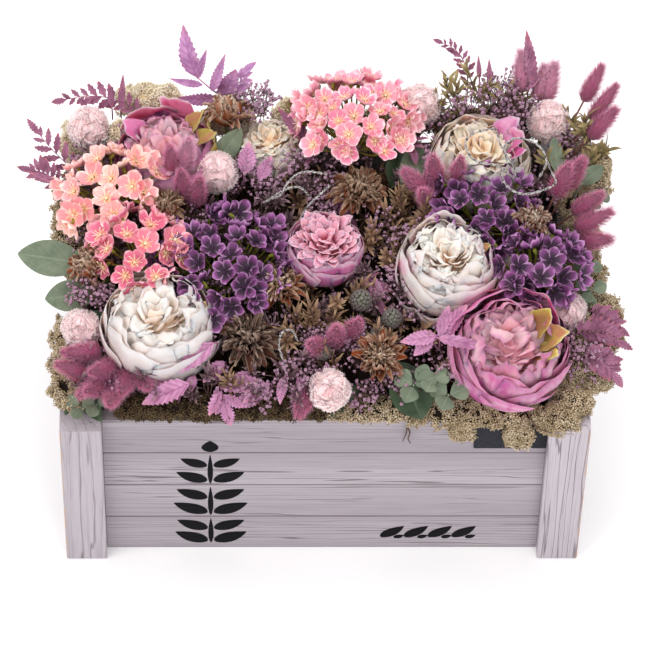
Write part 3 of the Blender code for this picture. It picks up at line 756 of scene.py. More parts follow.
def peony(name, seed, finishes, hearts=48, lean=(0, 0), scale=1.0, shift=(0, 0, 0), rise=0.08, spread=0.52,
          lift=1.0, single=(), spoons=()):
    """Rings of petals that rise towards the middle, crumpled ones among the innermost, over a warm core.
    Single petals are given by finish, azimuth, rim, level, end, half width and depth, and single spoons by
    finish, distance out, bearing, facing, lean, length and width."""
    node = f"peony_{name}"
    centre, axis, radius, foot = planted(node)
    radius = radius * scale
    stock, rng = Stock(), np.random.default_rng(seed)
    phase = rng.uniform(0, TURN)
    for count, rim, level, *shape, depth in PETAL_RINGS:
        phase += 0.5 * TURN / count + rng.uniform(-0.15, 0.15)
        grid = cup_petals(rng, radius, count, rim, level * lift, *shape, phase)
        stock.sheets(grid, PETAL, rng.random(count), depth)
    stock.sheets(heart_petals(rng, hearts, radius, spread, rise), 0.4 * MM, rng.random(hearts), 1.0)
    for finish, azimuth, *shape, depth in single:
        grid = cup_petals(rng, radius, 1, *shape, *SINGLE_FOLDS, azimuth)
        stock.sheets(grid, PETAL, rng.random(1), depth, finish)
    for finish, away, turn, facing, bend, long, wide in spoons:
        grid = spoon_petals(rng, np.array([away * radius]), turn, facing, bend, 0.2 * radius, long * radius,
                            wide * radius)
        stock.sheets(grid, PETAL, rng.random(1), 0.3 if finish else 0.9, finish)
    stock.ball(np.array([0, 0, -0.10 * radius]), np.array([0.76, 0.76, 0.40]) * radius, 0.45, 0.9, 0, 14, 24)
    axis = unit(axis + [*lean, 0])
    centre = centre - axis * 0.12 * radius + placed(shift)
    stock.transform(frames_from(axis)[0], centre)
    stock.stem(foot, centre - axis * 0.8 * radius, 2.4)
    stock.piece(f"{node}_bloom", finishes, "peony", node)


PETAL_TONES = {  # outer, rim, foot (painted shade low down, also the veins), heart, crevice shade (painted) and streak
    "white": ((228, 204, 201), (254, 248, 244), (220, 190, 184), (253, 238, 226), (240, 196, 160)),
    "blush": ((230, 208, 203), (254, 248, 243), (224, 190, 183), (252, 237, 222), (240, 194, 158),
              (234, 176, 196)),
    "cream": ((242, 222, 206), (254, 246, 234), (236, 206, 184), (249, 224, 194), (230, 166, 118),
              (236, 170, 172)),
    "pink": ((212, 140, 178), (244, 200, 218), (176, 84, 134), (232, 160, 176), (196, 92, 122),
             (188, 80, 142)),
    "rose": ((220, 158, 184), (194, 92, 150), (166, 60, 120), (236, 182, 190), (198, 108, 132),
             (180, 64, 132)),
    "yellow": ((158, 138, 68), (202, 192, 100), (140, 90, 64), (166, 146, 76), (150, 124, 54),
               (164, 108, 84)),
    "crimson": ((212, 120, 164), (240, 186, 210), (150, 28, 76), (206, 98, 146), (140, 28, 64),
                (190, 72, 130)),
}


def peonies(stem):
    white, blush, cream, pink, rose, yellow, crimson = (
        petal_finish(f"{name}_petals", *tones) for name, tones in PETAL_TONES.items())
    peony("front_left", 11, [white, stem, yellow], 44, (-0.02, 0.10), 0.91, (-1, 1, 0), 0.20, 0.44, 1.4,
          spoons=((2, 0.60, 0.1, 0.2, 0.3, 0.36, 0.13),))
    peony("front_right", 12, [rose, stem, yellow], lean=(0.0, -0.08), scale=0.87, shift=(3, -7, 1),
          spread=0.46, lift=1.2, single=((0, 0.95, 0.88, 0.50, 1.9, 0.6, 0.0),),
          spoons=((2, 0.42, 0.62, 0.4, 0.35, 0.66, 0.24), (2, 0.44, 0.12, 0.05, 0.45, 0.60, 0.24),
                  (2, 0.42, -0.35, -0.3, 0.5, 0.50, 0.18), (0, 0.22, 2.6, -1.9, -0.1, 0.66, 0.20)))
    peony("centre", 13, [pink, stem], 62, (0.03, -0.06), shift=(0, -2, 0), rise=0.26, spread=0.62)
    peony("right_centre", 14, [blush, stem, yellow, rose], lean=(0.0, 0.06), scale=0.87, shift=(11, 4, 2),
          rise=0.28, spread=0.44, lift=1.45,
          single=((0, -1.4, 1.12, -0.10, 1.6, 0.62, 0.0), (0, -2.2, 1.08, -0.12, 1.6, 0.60, 0.0),
                  (3, -0.45, 1.10, 0.20, 1.7, 0.40, 0.2), (0, -0.1, 1.18, 0.16, 1.6, 0.50, 0.0),
                  (0, 1.5, 0.80, 0.70, 1.9, 0.5, 0.1), (0, 2.2, 0.82, 0.62, 1.9, 0.5, 0.1)),
          spoons=((2, 0.60, 0.3, 0.2, 0.2, 0.4, 0.12),))
    peony("back_left", 15, [rose, stem, yellow, crimson], scale=0.95, lean=(0, -0.05),
          single=((3, 2.0, 0.86, 0.60, 2.2, 0.70, 0.0), (3, 1.3, 0.84, 0.66, 2.1, 0.45, 0.0),
                  (2, 0.55, 0.94, 0.50, 1.9, 0.30, 0.2), (2, 0.10, 0.98, 0.36, 1.9, 0.28, 0.2),
                  (3, 3.3, 0.98, 0.26, 1.9, 0.5, 0.0)),
          spoons=((2, 0.60, 0.65, 0.5, 0.35, 0.60, 0.20), (2, 0.62, 0.15, 0.1, 0.4, 0.52, 0.20),
                  (3, 0.56, 2.5, 2.6, 0.3, 0.5, 0.24)))
    peony("back_middle", 16, [cream, stem], scale=1.08, rise=0.14)
    peony("back_right", 17, [cream, stem, crimson, pink], scale=0.95, shift=(0, -1, 4), lean=(0, -0.04),
          rise=0.12, spread=0.46,
          spoons=((3, 0.46, 0.80, 0.6, 0.45, 0.62, 0.26), (3, 0.50, 0.30, 0.1, 0.5, 0.60, 0.26),
                  (3, 0.50, -0.25, -0.3, 0.5, 0.52, 0.20)))


# ---------------------------------------------------------------- small flowers

def turned_sheets(grid, frames, places):
    """Local sheet grids (n, rows, columns, 3), each turned by its frame and moved to its place."""
    return np.einsum("nij,nrcj->nrci", frames, grid) + places[:, None, None]


def round_petals(rng, count, size, width):
    """Five rounded petals for each of count florets: the radius grows along the petal, the half width
    follows a sine and closes at the tip, and the height is a cup times nearly the square of the way, with
    the sides drawn up."""
    t, s = sheet_plan(8, 7)
    wild = strewn(rng, count * 5)
    turn = np.tile(np.arange(5) * TURN / 5, count)[:, None, None] + wild(0.10)
    size = np.repeat(size * rng.uniform(0.88, 1.1, count), 5)[:, None, None] * (1 + wild(0.06))
    cup = np.repeat(0.50 * rng.uniform(0.7, 1.4, count), 5)[:, None, None] + wild(0.08)
    away = size * (0.13 + 0.87 * t - 0.10 * s ** 2 * t ** 2)
    wide = size * width * (1 + wild(0.08)) * np.sin(math.pi * (0.10 + 0.80 * t ** 1.35)) ** 0.7 * s
    up = cup * t ** 1.8 - 0.12 * t + 0.16 * s ** 2 * t + 0.05 * s * t + wild(0.03) * np.sin(5 * s) * t
    return turned_out(away, wide, turn, size * up)


def floret_heads(stock, rng, places, facing, size, width, stamen):
    """Florets: five petals, a short tube beneath, and stamens about a knob. Finishes: petal, heart, stalk."""
    count, each = len(places), 7
    frames = frames_from(facing, rng.uniform(0, TURN, count))
    chance = rng.random(count)
    five = np.repeat(np.arange(count), 5)
    petals = turned_sheets(round_petals(rng, count, size, width), frames[five], places[five])
    stock.sheets(petals, PETAL, chance[five], 0, 0)
    axis = frames[:, :, 2][:, None]
    for heights, radii, depth, finish in (((-0.62, -0.4, -0.16, -0.07), (0.09, 0.14, 0.15, 0.07), 0.4, 2),
                                          ((0.0, 0.08, 0.15), (0.10, 0.13, 0.06), 0.5, 1)):
        path = places[:, None] + axis * np.array(heights)[:, None] * size
        stock.tubes(path, np.array(radii) * size, 6, chance, depth, finish)
    turn = np.arange(each) * TURN / each + rng.uniform(0, 1, (count, 1))
    out = np.einsum("nij,nkj->nki", frames, circle(turn)) * stamen * size
    start = places[:, None] + axis * 0.06 * size + 0 * out
    paths = np.stack([start, start + out * 0.55 + axis * 0.20 * size, start + out + axis * 0.24 * size], 2)
    radii = np.array([0.030, 0.026, 0.042]) * size
    stock.tubes(paths.reshape(-1, 3, 3), radii, 3, np.repeat(chance, each), 0.8, 1)


def floret_cluster(node, seed, count, spread, size, finishes, slot, stamen=0.50, width=0.47, height=0.6):
    """Florets set by the golden angle over a dome of this spread and height, in radii of the node, on
    stalks that spring from one hub."""
    centre, axis, radius, foot = planted(node)
    size = size * MM
    stock, rng = Stock(), np.random.default_rng(seed)
    frame0 = frames_from(axis)[0]
    slant = np.radians(74) * np.sqrt((np.arange(count) + 0.4) / count)
    normal = sphere(slant, golden(count) + rng.uniform(-0.25, 0.25, count))
    places = normal * [spread * radius, spread * radius, height * radius]
    places = places + normal * rng.uniform(-4, 3, (count, 1)) * MM
    places = centre + places @ frame0.T - axis * 0.22 * radius
    facing = unit((normal * [0.75, 0.75, 1]) @ frame0.T + rng.normal(0, 0.28, (count, 3)) + [0, -0.14, 0])
    floret_heads(stock, rng, places, facing, size, width, stamen)
    hub = centre - axis * 0.9 * radius
    ends = places - facing * 0.5 * size
    stock.tubes(bowed(np.repeat(hub[None], count, 0), ends, (ends - hub) * [0.12, 0.12, -0.05], 6),
                0.75 * MM, 5, rng.random(count), 0.2, 2)
    stock.stem(foot, hub, 2.6, 2)
    stock.piece(f"{node}_florets", finishes, slot, node)


def floret_finish(name, throat, middle, rim, vein, other, roughness=0.5, reach=0.38, hold=0.5):
    """Petal colour along the way from throat to rim, other in some florets, with darker veins fanning out
    and a paler thin border that comes and goes."""
    made = Finish(name, roughness, 0.35)
    along, edge, chance = made.growth()
    colour = made.ramp(along, (0.08, throat), (0.6 * reach, blended(throat, middle, hold)), (reach, middle))
    some = made.times(made.spread(chance, 0.3, 0.9), made.spread(along, 0.4 * reach, 1.3 * reach))
    colour = made.mix(some, colour, other)
    lines = made.spread(made.waves(edge, 15.0), 0.3, 0.95)
    colour = made.mix(made.times(lines, made.spread(along, 0.85, 0.3, 0, 0.55)), colour, vein)
    border = made.maths("MAXIMUM", made.spread(along, 0.78, 0.95), made.spread(edge, 0.62, 0.92))
    worn = made.spread(made.noise(150, 2), 0.36, 0.60, 0.25, 0.95)
    colour = made.mix(made.times(border, worn), colour, rim)
    made.colour(made.mix(made.noise(260, 2), colour, made.mix(0.94, rim, colour)))
    made.bump(made.noise(700, 2), 0.2, 0.3)
    return made.material


FLORET_TONES = {  # throat, middle, rim, vein and other, then roughness, reach and hold where they differ
    "salmon": ((252, 206, 160), (240, 160, 166), (255, 228, 222), (214, 84, 116), (250, 198, 186)),
    "rosy": ((246, 190, 150), (218, 106, 140), (250, 204, 210), (190, 46, 94), (230, 142, 158)),
    "violet": ((10, 4, 12), (138, 70, 132), (192, 142, 190), (18, 3, 22), (104, 46, 102), 0.6, 0.80, 0.12),
    "pink": ((250, 204, 160), (232, 134, 166), (255, 228, 232), (202, 54, 110), (242, 166, 178)),
}


def small_flowers():
    olive = tinted("olive_stalks", (112, 106, 32), (168, 152, 60))
    lime = tinted("lime_stalks", (60, 66, 16), (142, 142, 44))
    cream = tinted("cream_stamens", (246, 214, 168), (252, 236, 206))
    dark = tinted("dark_stamens", (36, 14, 40), (92, 56, 96))
    salmon, rosy, violet, pink = (
        floret_finish(f"{name}_florets", *tones) for name, tones in FLORET_TONES.items())
    wax, berry = ("wax_flower", 0.5, 0.47), ("violet_flower", 0.3, 0.42)  # slot, stamen, petal width
    floret_cluster("wax_flowers_left_upper", 21, 22, 1.50, 11.4, [salmon, cream, olive], *wax)
    floret_cluster("wax_flowers_left_lower", 22, 20, 1.50, 11.4, [rosy, cream, olive], *wax)
    floret_cluster("wax_flowers_top", 23, 46, 1.42, 10.6, [pink, cream, olive], *wax, height=0.7)
    floret_cluster("violet_flowers_left", 24, 44, 1.46, 10.4, [violet, dark, lime], *berry)
    floret_cluster("violet_flowers_right_upper", 25, 29, 1.45, 10.4, [violet, dark, lime], *berry)
    floret_cluster("violet_flowers_right_lower", 26, 22, 1.45, 10.4, [violet, dark, lime], *berry)


# ---------------------------------------------------------------- pompons, seed heads, tails

def pompon(name, seed, finish, stem):
    """A ball of fringed petals: each is a fan that stands on the ball, its far edge frilled and zigzagged."""
    node, count = f"pompon_{name}", 150
    centre, axis, radius, foot = planted(node)
    radius = 0.85 * radius
    stock, rng = Stock(), np.random.default_rng(seed)
    away = dome(count, 1.75)
    frames = frames_from(unit(away + rng.normal(0, 0.16, away.shape)), rng.uniform(0, TURN, count))
    t, s = sheet_plan(4, 14, 0.80)
    phase = rng.uniform(0, TURN, (count, 1, 1))
    fan = rng.uniform(0.30, 0.46, (count, 1, 1)) * s * t
    long = radius * rng.uniform(1.02, 1.2, (count, 1, 1)) * t * (1 + 0.045 * np.sin(17 * s + phase) * t ** 6)
    ripple = 0.08 * np.sin(4.2 * s + phase) + 0.05 * np.sin(9 * s + 2 * phase)
    grid = np.stack([long * np.sin(fan), radius * ripple * (t - 0.6), long * np.cos(fan)], -1)
    stock.sheets(turned_sheets(grid, frames, centre[None]), 0.3 * MM, rng.random(count))
    stock.ball(centre, 0.97 * radius, 0.6, 0.0)
    stock.stem(foot, centre - axis * 0.4 * radius, 1.8)
    stock.piece(f"{node}_bloom", [finish, stem], "pompon", node)


def pompons(stem):
    made = Finish("pale_pink_fringe", 0.75, Subsurface_Weight=0.7, Subsurface_Radius=(1.0, 0.75, 0.75),
                  Subsurface_Scale=4 * MM)
    along, _, chance = made.growth()
    colour = made.ramp(along, (0.1, (240, 196, 200)), (0.6, (246, 216, 218)), (1.0, (254, 240, 240)))
    colour = made.mix(made.spread(chance, 0.5, 1, 0, 0.5), colour, (246, 212, 204))
    made.colour(made.mix(made.times(made.noise(500, 2), 0.2), colour, (238, 196, 202)))
    made.bump(made.noise(1500, 2), 0.2, 0.3)
    for seed, name in enumerate(("back_left", "left", "back", "back_right", "front_left", "front", "right")):
        pompon(name, 40 + seed, made.material, stem)


def seed_head(name, seed, finish, stem, opening, tall):
    """Pointed bracts set by the golden angle from the middle outwards; each runs out from the base in its own
    direction, bends outwards by the cube of the way, and is gutter-shaped across."""
    node, count = f"seed_head_{name}", 120
    centre, axis, radius, foot = planted(node)
    stock, rng = Stock(), np.random.default_rng(seed)
    part = ((np.arange(count) + 0.5) / count)[:, None, None]
    slant = np.radians(76) * opening * part ** 0.85 + rng.uniform(-0.12, 0.12, (count, 1, 1))
    turn = golden(count)[:, None, None] + rng.uniform(-0.25, 0.25, (count, 1, 1))
    t, s = sheet_plan(7, 5, 0.15)
    long = radius * tall * rng.uniform(0.80, 1.04, (count, 1, 1)) * (0.94 + 0.1 * part)
    bend = slant + rng.uniform(-0.45, 0.55, (count, 1, 1)) * t ** 3
    wide = radius * (0.05 + 0.17 * part ** 2) * np.sin(math.pi * (0.30 + 0.62 * t)) ** 0.8 * s
    gutter = radius * (0.05 + 0.10 * part) * (s ** 2 - 0.4)
    out = long * t * np.sin(bend) - gutter * np.cos(bend)
    up = long * t * np.cos(bend) - 0.35 * radius + gutter * np.sin(bend)
    stock.sheets(turned_out(out, wide, turn, up), 0.5 * MM, rng.random(count), part.ravel())
    stock.transform(frames_from(axis)[0], centre)
    stock.stem(foot, centre - axis * 0.3 * radius, 2.2)
    stock.piece(f"{node}_bracts", [finish, stem], "seed_head", node)


def bract_finish(name, base, body, outer, tip):
    """Dry bracts: base to body to a pale tip along each, the outer ones rusty, with streaks along them."""
    made = Finish(name, 0.8, 0.2)
    along, edge, chance = made.growth()
    colour = made.ramp(along, (0.15, base), (0.55, body), (0.82, body), (1.0, tip))
    scale = made.times(made.spread(made.depth(), 0.35, 0.75), made.spread(chance, 0, 0.6, 0.35, 1))
    colour = made.mix(scale, colour, outer)
    colour = made.mix(made.spread(edge, 0.5, 1, 0, 0.5), colour, tip)
    streaks = made.noise(1.0, 3, (900, 900, 240))
    made.colour(made.mix(made.spread(streaks, 0.35, 0.7, 0, 0.5), colour, base))
    made.bump(streaks, 0.3, 0.5)
    return made.material


def seed_heads(stem):
    rust = bract_finish("rust_bracts", (50, 26, 18), (182, 142, 114), (146, 72, 36), (238, 218, 196))
    dusk = bract_finish("dusky_bracts", (44, 26, 22), (158, 124, 100), (126, 72, 46), (218, 194, 170))
    # Painted shade: the rusty bracts made darker, for the head at the front left.
    dark = bract_finish("shaded_bracts", (32, 21, 20), (118, 90, 80), (96, 56, 42), (206, 184, 166))
    bleached = bract_finish("bleached_bracts", (66, 34, 20), (152, 100, 66), (120, 62, 36), (242, 228, 214))
    heads = {  # finish, opening and height
        "back_left": (rust, 0.62, 0.94), "left": (dusk, 0.78, 0.94), "far_left": (rust, 0.78, 0.94),
        "middle": (dusk, 0.78, 0.94), "centre": (rust, 0.78, 0.94), "front_left": (dark, 0.78, 0.94),
        "front": (rust, 0.78, 0.80), "right": (bleached, 0.78, 0.94),
    }
    for seed, (name, (finish, opening, tall)) in enumerate(heads.items()):
        seed_head(name, 60 + seed, finish, stem, opening, tall)


TAILS = {  # mm: where the stalks leave the moss, then the middles of the tails
    "hares_tails_front_left": ((-158, -92), ((-172, -112, 226), (-188, -97, 228), (-160, -118, 224))),
    "hares_tails_left": ((-104, 46), ((-108, 50, 256), (-97, 46, 252))),
    "hares_tails_centre": ((92, 52), ((84, 58, 262), (101, 57, 262), (78, 40, 252))),
    "hares_tails_back_right": ((163, 76), ((207, 138, 262), (215, 123, 258), (214, 108, 252))),
    "hares_tails_right": ((160, 32), ((180, 48, 264), (200, 36, 250), (205, 10, 240))),
    "hares_tails_front": ((8, -66), ((8, -76, 244), (-6, -84, 240), (20, -70, 240))),
}
LOOSE_TAILS = (  # mm: foot and middle of each
    ((-150, -84, 214), (-166, -99, 232)), ((-146, -84, 214), (-150, -106, 226)),
    ((-140, -90, 212), (-136, -104, 224)), ((-150, -74, 218), (-182, -86, 236)),
    ((-152, -84, 214), (-174, -108, 224)), ((-112, 56, 232), (-116, 66, 262)),
    ((-10, -96, 218), (-16, -118, 220)), ((176, 20, 226), (204, 24, 246)), ((174, 44, 232), (190, 56, 262)),
    ((106, 30, 232), (72, 50, 256)),
)
PALE_TAILS = (  # mm: foot and middle of each
    ((155, 128, 232), (153, 149, 262)), ((170, 128, 236), (175, 143, 257)),
    ((164, 128, 236), (168, 143, 255)), ((-112, 60, 236), (-106, 72, 262)),
)
HAIRS = 650  # to a tail
HAIR_ROOT = 0.24 * MM  # radius of a hair at its root


def hare_tail(stock, rng, middle, heading, length, radius):
    """A furry spindle: a core whose radius follows a sine, and spikes on it that lean forward along it."""
    length, radius = 0.86 * length * MM, radius * MM

    def core(share):
        return 0.62 * radius * np.sin(math.pi * (0.06 + 0.9 * share ** 0.6)) ** 0.8

    t = np.linspace(0, 1, 9)
    path = middle + heading * ((t - 0.5) * length)[:, None]
    stock.tubes(path[None], core(t)[None], 8)
    up = ((np.arange(HAIRS) + 0.5) / HAIRS) ** 0.95
    ring = circle(golden(HAIRS))
    root = ring * core(up)[:, None] * 0.9 + UP * ((up - 0.5) * length)[:, None]
    slant = np.radians(56 - 30 * up) + rng.normal(0, 0.14, HAIRS)
    aim = ring * np.sin(slant)[:, None] + UP * np.cos(slant)[:, None] + rng.normal(0, 0.08, (HAIRS, 3))
    turned = frames_from(heading)[0].T
    root, aim = middle + root @ turned, unit(aim @ turned)
    reach = rng.uniform(0.7, 1.15, HAIRS) * (1.1 - 0.2 * up) * radius
    frames = frames_from(aim, rng.uniform(0, 6, HAIRS))
    foot = np.einsum("nij,vj->nvi", frames, TRIANGLE * HAIR_ROOT) + root[:, None]
    points = np.concatenate([foot, (root + aim * reach[:, None])[:, None]], axis=1)
    grown = np.zeros((HAIRS, 4, 3))
    grown[:, 3, 0] = 1
    grown[..., 2] = rng.random((HAIRS, 1))
    stock.add(points, np.array([[0, 1, 3], [1, 2, 3], [2, 0, 3], [0, 2, 1]]), grown, up[:, None])


def tail_finish(name, root, body, tip):
    """Fur: root to tip along each hair, darker towards the lower end of the tail."""
    made = Finish(name, 0.85, 0.1, Subsurface_Weight=0.2, Subsurface_Scale=2 * MM, Sheen_Weight=0.3)
    along, _, chance = made.growth()
    colour = made.ramp(along, (0.0, root), (0.5, body), (1.0, tip))
    colour = made.mix(made.spread(chance, 0, 1, 0, 0.5), colour, body)
    made.colour(made.mix(made.spread(made.depth(), 0.55, 0.0, 0, 0.55), colour, root))
    made.bump(made.noise(2000, 1), 0.1, 0.3)
    return made.material


def hare_tails():
    berry = tail_finish("raspberry_fur", (142, 48, 92), (200, 104, 146), (238, 172, 198))
    pale = tail_finish("pale_pink_fur", (196, 116, 152), (226, 156, 186), (248, 204, 220))
    stalks = tinted("tail_stalks", (96, 60, 60), (140, 96, 84))
    for seed, (node, (entry, middles)) in enumerate(TAILS.items()):
        stock, rng = Stock(), np.random.default_rng(80 + seed)
        fork = placed((*entry, MOSS_TOP + 3))
        stock.stem(planted_foot(node), fork, 1.8)
        for middle in placed(middles):
            hare_tail(stock, rng, middle, unit(middle - fork), rng.uniform(34, 39), rng.uniform(7.2, 8.2))
            stock.stalk(np.linspace(fork, middle, 5), 0.8, finish=1)
        stock.piece(f"{node}_fur", [berry, stalks], "hares_tail", node)
    for name, seed, rows, fur in (("loose_tails_fur", 99, LOOSE_TAILS, berry),
                                  ("pale_tails_fur", 98, PALE_TAILS, pale)):
        stock, rng = Stock(), np.random.default_rng(seed)
        for start, middle in placed(rows):
            hare_tail(stock, rng, middle, unit(middle - start), rng.uniform(32, 38), rng.uniform(7.4, 8.6))
            stock.stalk(np.linspace(start - UP * 12 * MM, middle, 5), 0.8, finish=1)
        stock.piece(name, [fur, stalks], "hares_tail")


# ---------------------------------------------------------------- fronds

def points_along(path, u):
    """Where the points of a path lie at fractional numbers u, and the numbers of the points before them."""
    i = np.minimum(u.astype(int), len(path) - 2)
    return path[i] + (path[i + 1] - path[i]) * (u - i)[:, None], i


def frond(stock, rng, path, normal, pairs, longest, width, begin, teeth, tooth=0.3, pleat=0.0):
    """Leaflets in turn left and right of a midrib that follows the path. Their length swells and falls like
    a sine along it; the angle at which they leave closes towards the tip, where the last leaflet stands."""
    across, face, along = spine_frames(path, normal)
    share = np.linspace(0, 1, 2 * pairs)
    base, i = points_along(path, np.linspace(begin, 0.97, 2 * pairs) * (len(path) - 1))
    side = np.where(np.arange(2 * pairs) % 2, 1.0, -1.0)[:, None]
    angle = np.radians(58 * (1 - 0.35 * share))[:, None] * rng.uniform(0.85, 1.15, side.shape)
    heading = along[i] * np.cos(angle) + across[i] * side * np.sin(angle)
    heading = heading - face[i] * rng.uniform(-0.1, 0.25, side.shape)
    swell = 0.35 + 0.65 * np.sin(math.pi * (0.22 + 0.66 * share))
    long = longest * swell * rng.uniform(0.85, 1.12, len(share))
    leaves(stock, rng, base, heading, face[i], long, width * long / longest, teeth, tooth, pleat=pleat)
    leaves(stock, rng, path[-1:], along[-1:], face[-1:], longest, width, teeth + 2, tooth, pleat=pleat)
    stock.stalk(path, np.linspace(0.7, 0.28, len(path)))


FERN_FACE = unit(np.array([0.0, -0.75, 0.8]))
FRONDS = {  # mm: where the stalk leaves the moss, bend, tip; pairs, longest leaflet, leaflet width, teeth
    "fern_back_left": ((-102, 95), (-140, 142, 262), (-198, 138, 240), 9, 13, 6.5, 3),
    "fern_left": ((-160, 76), (-196, 80, 226), (-218, 104, 242), 5, 16, 6.5, 4),
    "fern_back_right": ((94, 97), (130, 162, 262), (92, 164, 279), 9, 9, 4.5, 2),
    "fern_right": ((160, -66), (200, -58, 238), (220, -70, 227), 9, 15, 7, 3),
    "fern_front": ((-84, -92), (-80, -106, 232), (-76, -118, 218), 3, 22, 12, 6),
}
LOOSE_FRONDS = {  # mm: foot, bend, tip; pairs, longest leaflet, leaflet width
    "lilac": (((-84, 118, 214), (-72, 138, 246), (-62, 150, 254), 5, 15, 8),),
    "mauve": (
        ((186, -34, 212), (206, -46, 234), (220, -58, 228), 7, 13, 6),
        ((176, -80, 210), (204, -80, 234), (216, -94, 220), 7, 15, 8),
        ((-14, 84, 220), (-8, 96, 250), (-10, 88, 248), 4, 15, 8),
        ((-190, 60, 210), (-206, 76, 232), (-222, 78, 232), 6, 14, 6),
        ((62, 84, 220), (66, 100, 254), (68, 88, 250), 4, 14, 7),
        ((-4, 40, 220), (10, 44, 244), (16, 34, 240), 4, 17, 7),
        ((22, -20, 220), (34, -24, 244), (40, -40, 238), 4, 16, 7),
    ),
}
TALL_STALK = ((-97, 97, 197), (-86, 128, 222), (-78, 139, 238), (-87, 140, 252), (-98, 142, 266))
TALL_LEAVES = (  # mm: base, tip and width
    ((-98, 142, 265), (-109, 160, 304), 17), ((-93, 140, 257), (-118, 141, 262), 7),
    ((-82, 138, 241), (-112, 138, 241), 12), ((-97, 143, 262), (-91, 151, 286), 7),
    ((-86, 139, 250), (-77, 149, 281), 9), ((-78, 139, 238), (-68, 147, 267), 18),
)
LILAC_LEAVES = (  # mm: base, tip and width of the pleated leaves between the heads
    ((-84, -84, 246), (-121, -112, 240), 15), ((-76, -91, 230), (-92, -106, 225), 12),
    ((-102, -114, 236), (-139, -124, 226), 18), ((-98, -102, 228), (-104, -114, 224), 9),
    ((-43, -112, 226), (-72, -103, 230), 12), ((-46, -112, 224), (-68, -122, 216), 15),
    ((-57, -100, 230), (-74, -112, 224), 11), ((-21, -104, 230), (-12, -119, 221), 10),
    ((-24, -110, 226), (-17, -123, 216), 10), ((84, -79, 248), (107, -62, 262), 15),
    ((84, -79, 247), (56, -84, 248), 13), ((84, -82, 250), (126, -100, 264), 10),
    ((80, -80, 246), (66, -94, 244), 11), ((86, -80, 248), (92, -58, 258), 11),
    ((-42, -110, 230), (-62, -122, 222), 13), ((-30, -106, 234), (-36, -124, 224), 11),
    ((-61, 66, 246), (-57, 82, 264), 16), ((-50, 62, 244), (-40, 74, 258), 12),
    ((196, -84, 222), (222, -92, 222), 14), ((30, -20, 236), (44, -40, 242), 12),
    ((14, 22, 238), (22, 4, 244), 12), ((88, 24, 238), (96, 4, 240), 11),
    ((-64, -64, 232), (-56, -84, 236), 10),
)
MAUVE_LEAVES = (  # mm: base, tip and width of the single toothed leaves
    ((161, 139, 262), (156, 167, 290), 11), ((120, 144, 260), (119, 155, 274), 4.5),
    ((128, 140, 260), (127, 150, 276), 5), ((-156, 131, 240), (-154, 147, 259), 6),
    ((-163, 130, 240), (-165, 143, 255), 6), ((-17, 96, 251), (-35, 116, 263), 9),
    ((-12, 92, 248), (-20, 106, 261), 8), ((158, 136, 258), (168, 146, 266), 5),
    ((-196, 66, 228), (-226, 72, 240), 7), ((-111, -113, 227), (-146, -99, 238), 14),
    ((-111, -115, 225), (-133, -112, 228), 10),
)


def frond_finish(name, low, high, tip):
    """Dried frond colour: mottled along the leaflet, with ribs that run slantwise from the midrib."""
    made = Finish(name, 0.7, 0.25, Subsurface_Weight=0.1, Subsurface_Scale=1.5 * MM)
    along, edge, chance = made.growth()
    colour = made.ramp(made.noise(120, 3), (0.3, low), (0.72, high))
    colour = made.mix(made.spread(chance, 0, 1, 0, 0.55), colour, high)
    ribs = made.ribs(along, edge, 0.12, 44.0)
    colour = made.mix(made.spread(ribs, 0.2, 1.0, 0, 0.45), colour, low)
    colour = made.mix(made.spread(edge, 0.16, 0.04, 0, 0.5), colour, low)
    made.colour(made.mix(made.spread(along, 0.75, 1.0, 0, 0.7), colour, tip))
    made.bump(ribs, 0.25, 0.4)
    return made.material


def pleated_leaves(stock, rng, rows, face):
    """Single pleated leaves from base to tip, facing one way more or less. Returns their bases and tips."""
    base, tip, width = (placed(column) for column in zip(*rows))
    normal = unit(np.array(face) + rng.normal(0, 0.25, base.shape))
    leaves(stock, rng, base, tip - base, normal, np.linalg.norm(tip - base, axis=1), width, teeth=9,
           tooth=0.22, fold=0.3, curl=0.16, pleat=0.05, blunt=0.62, columns=7)
    return zip(base, tip)


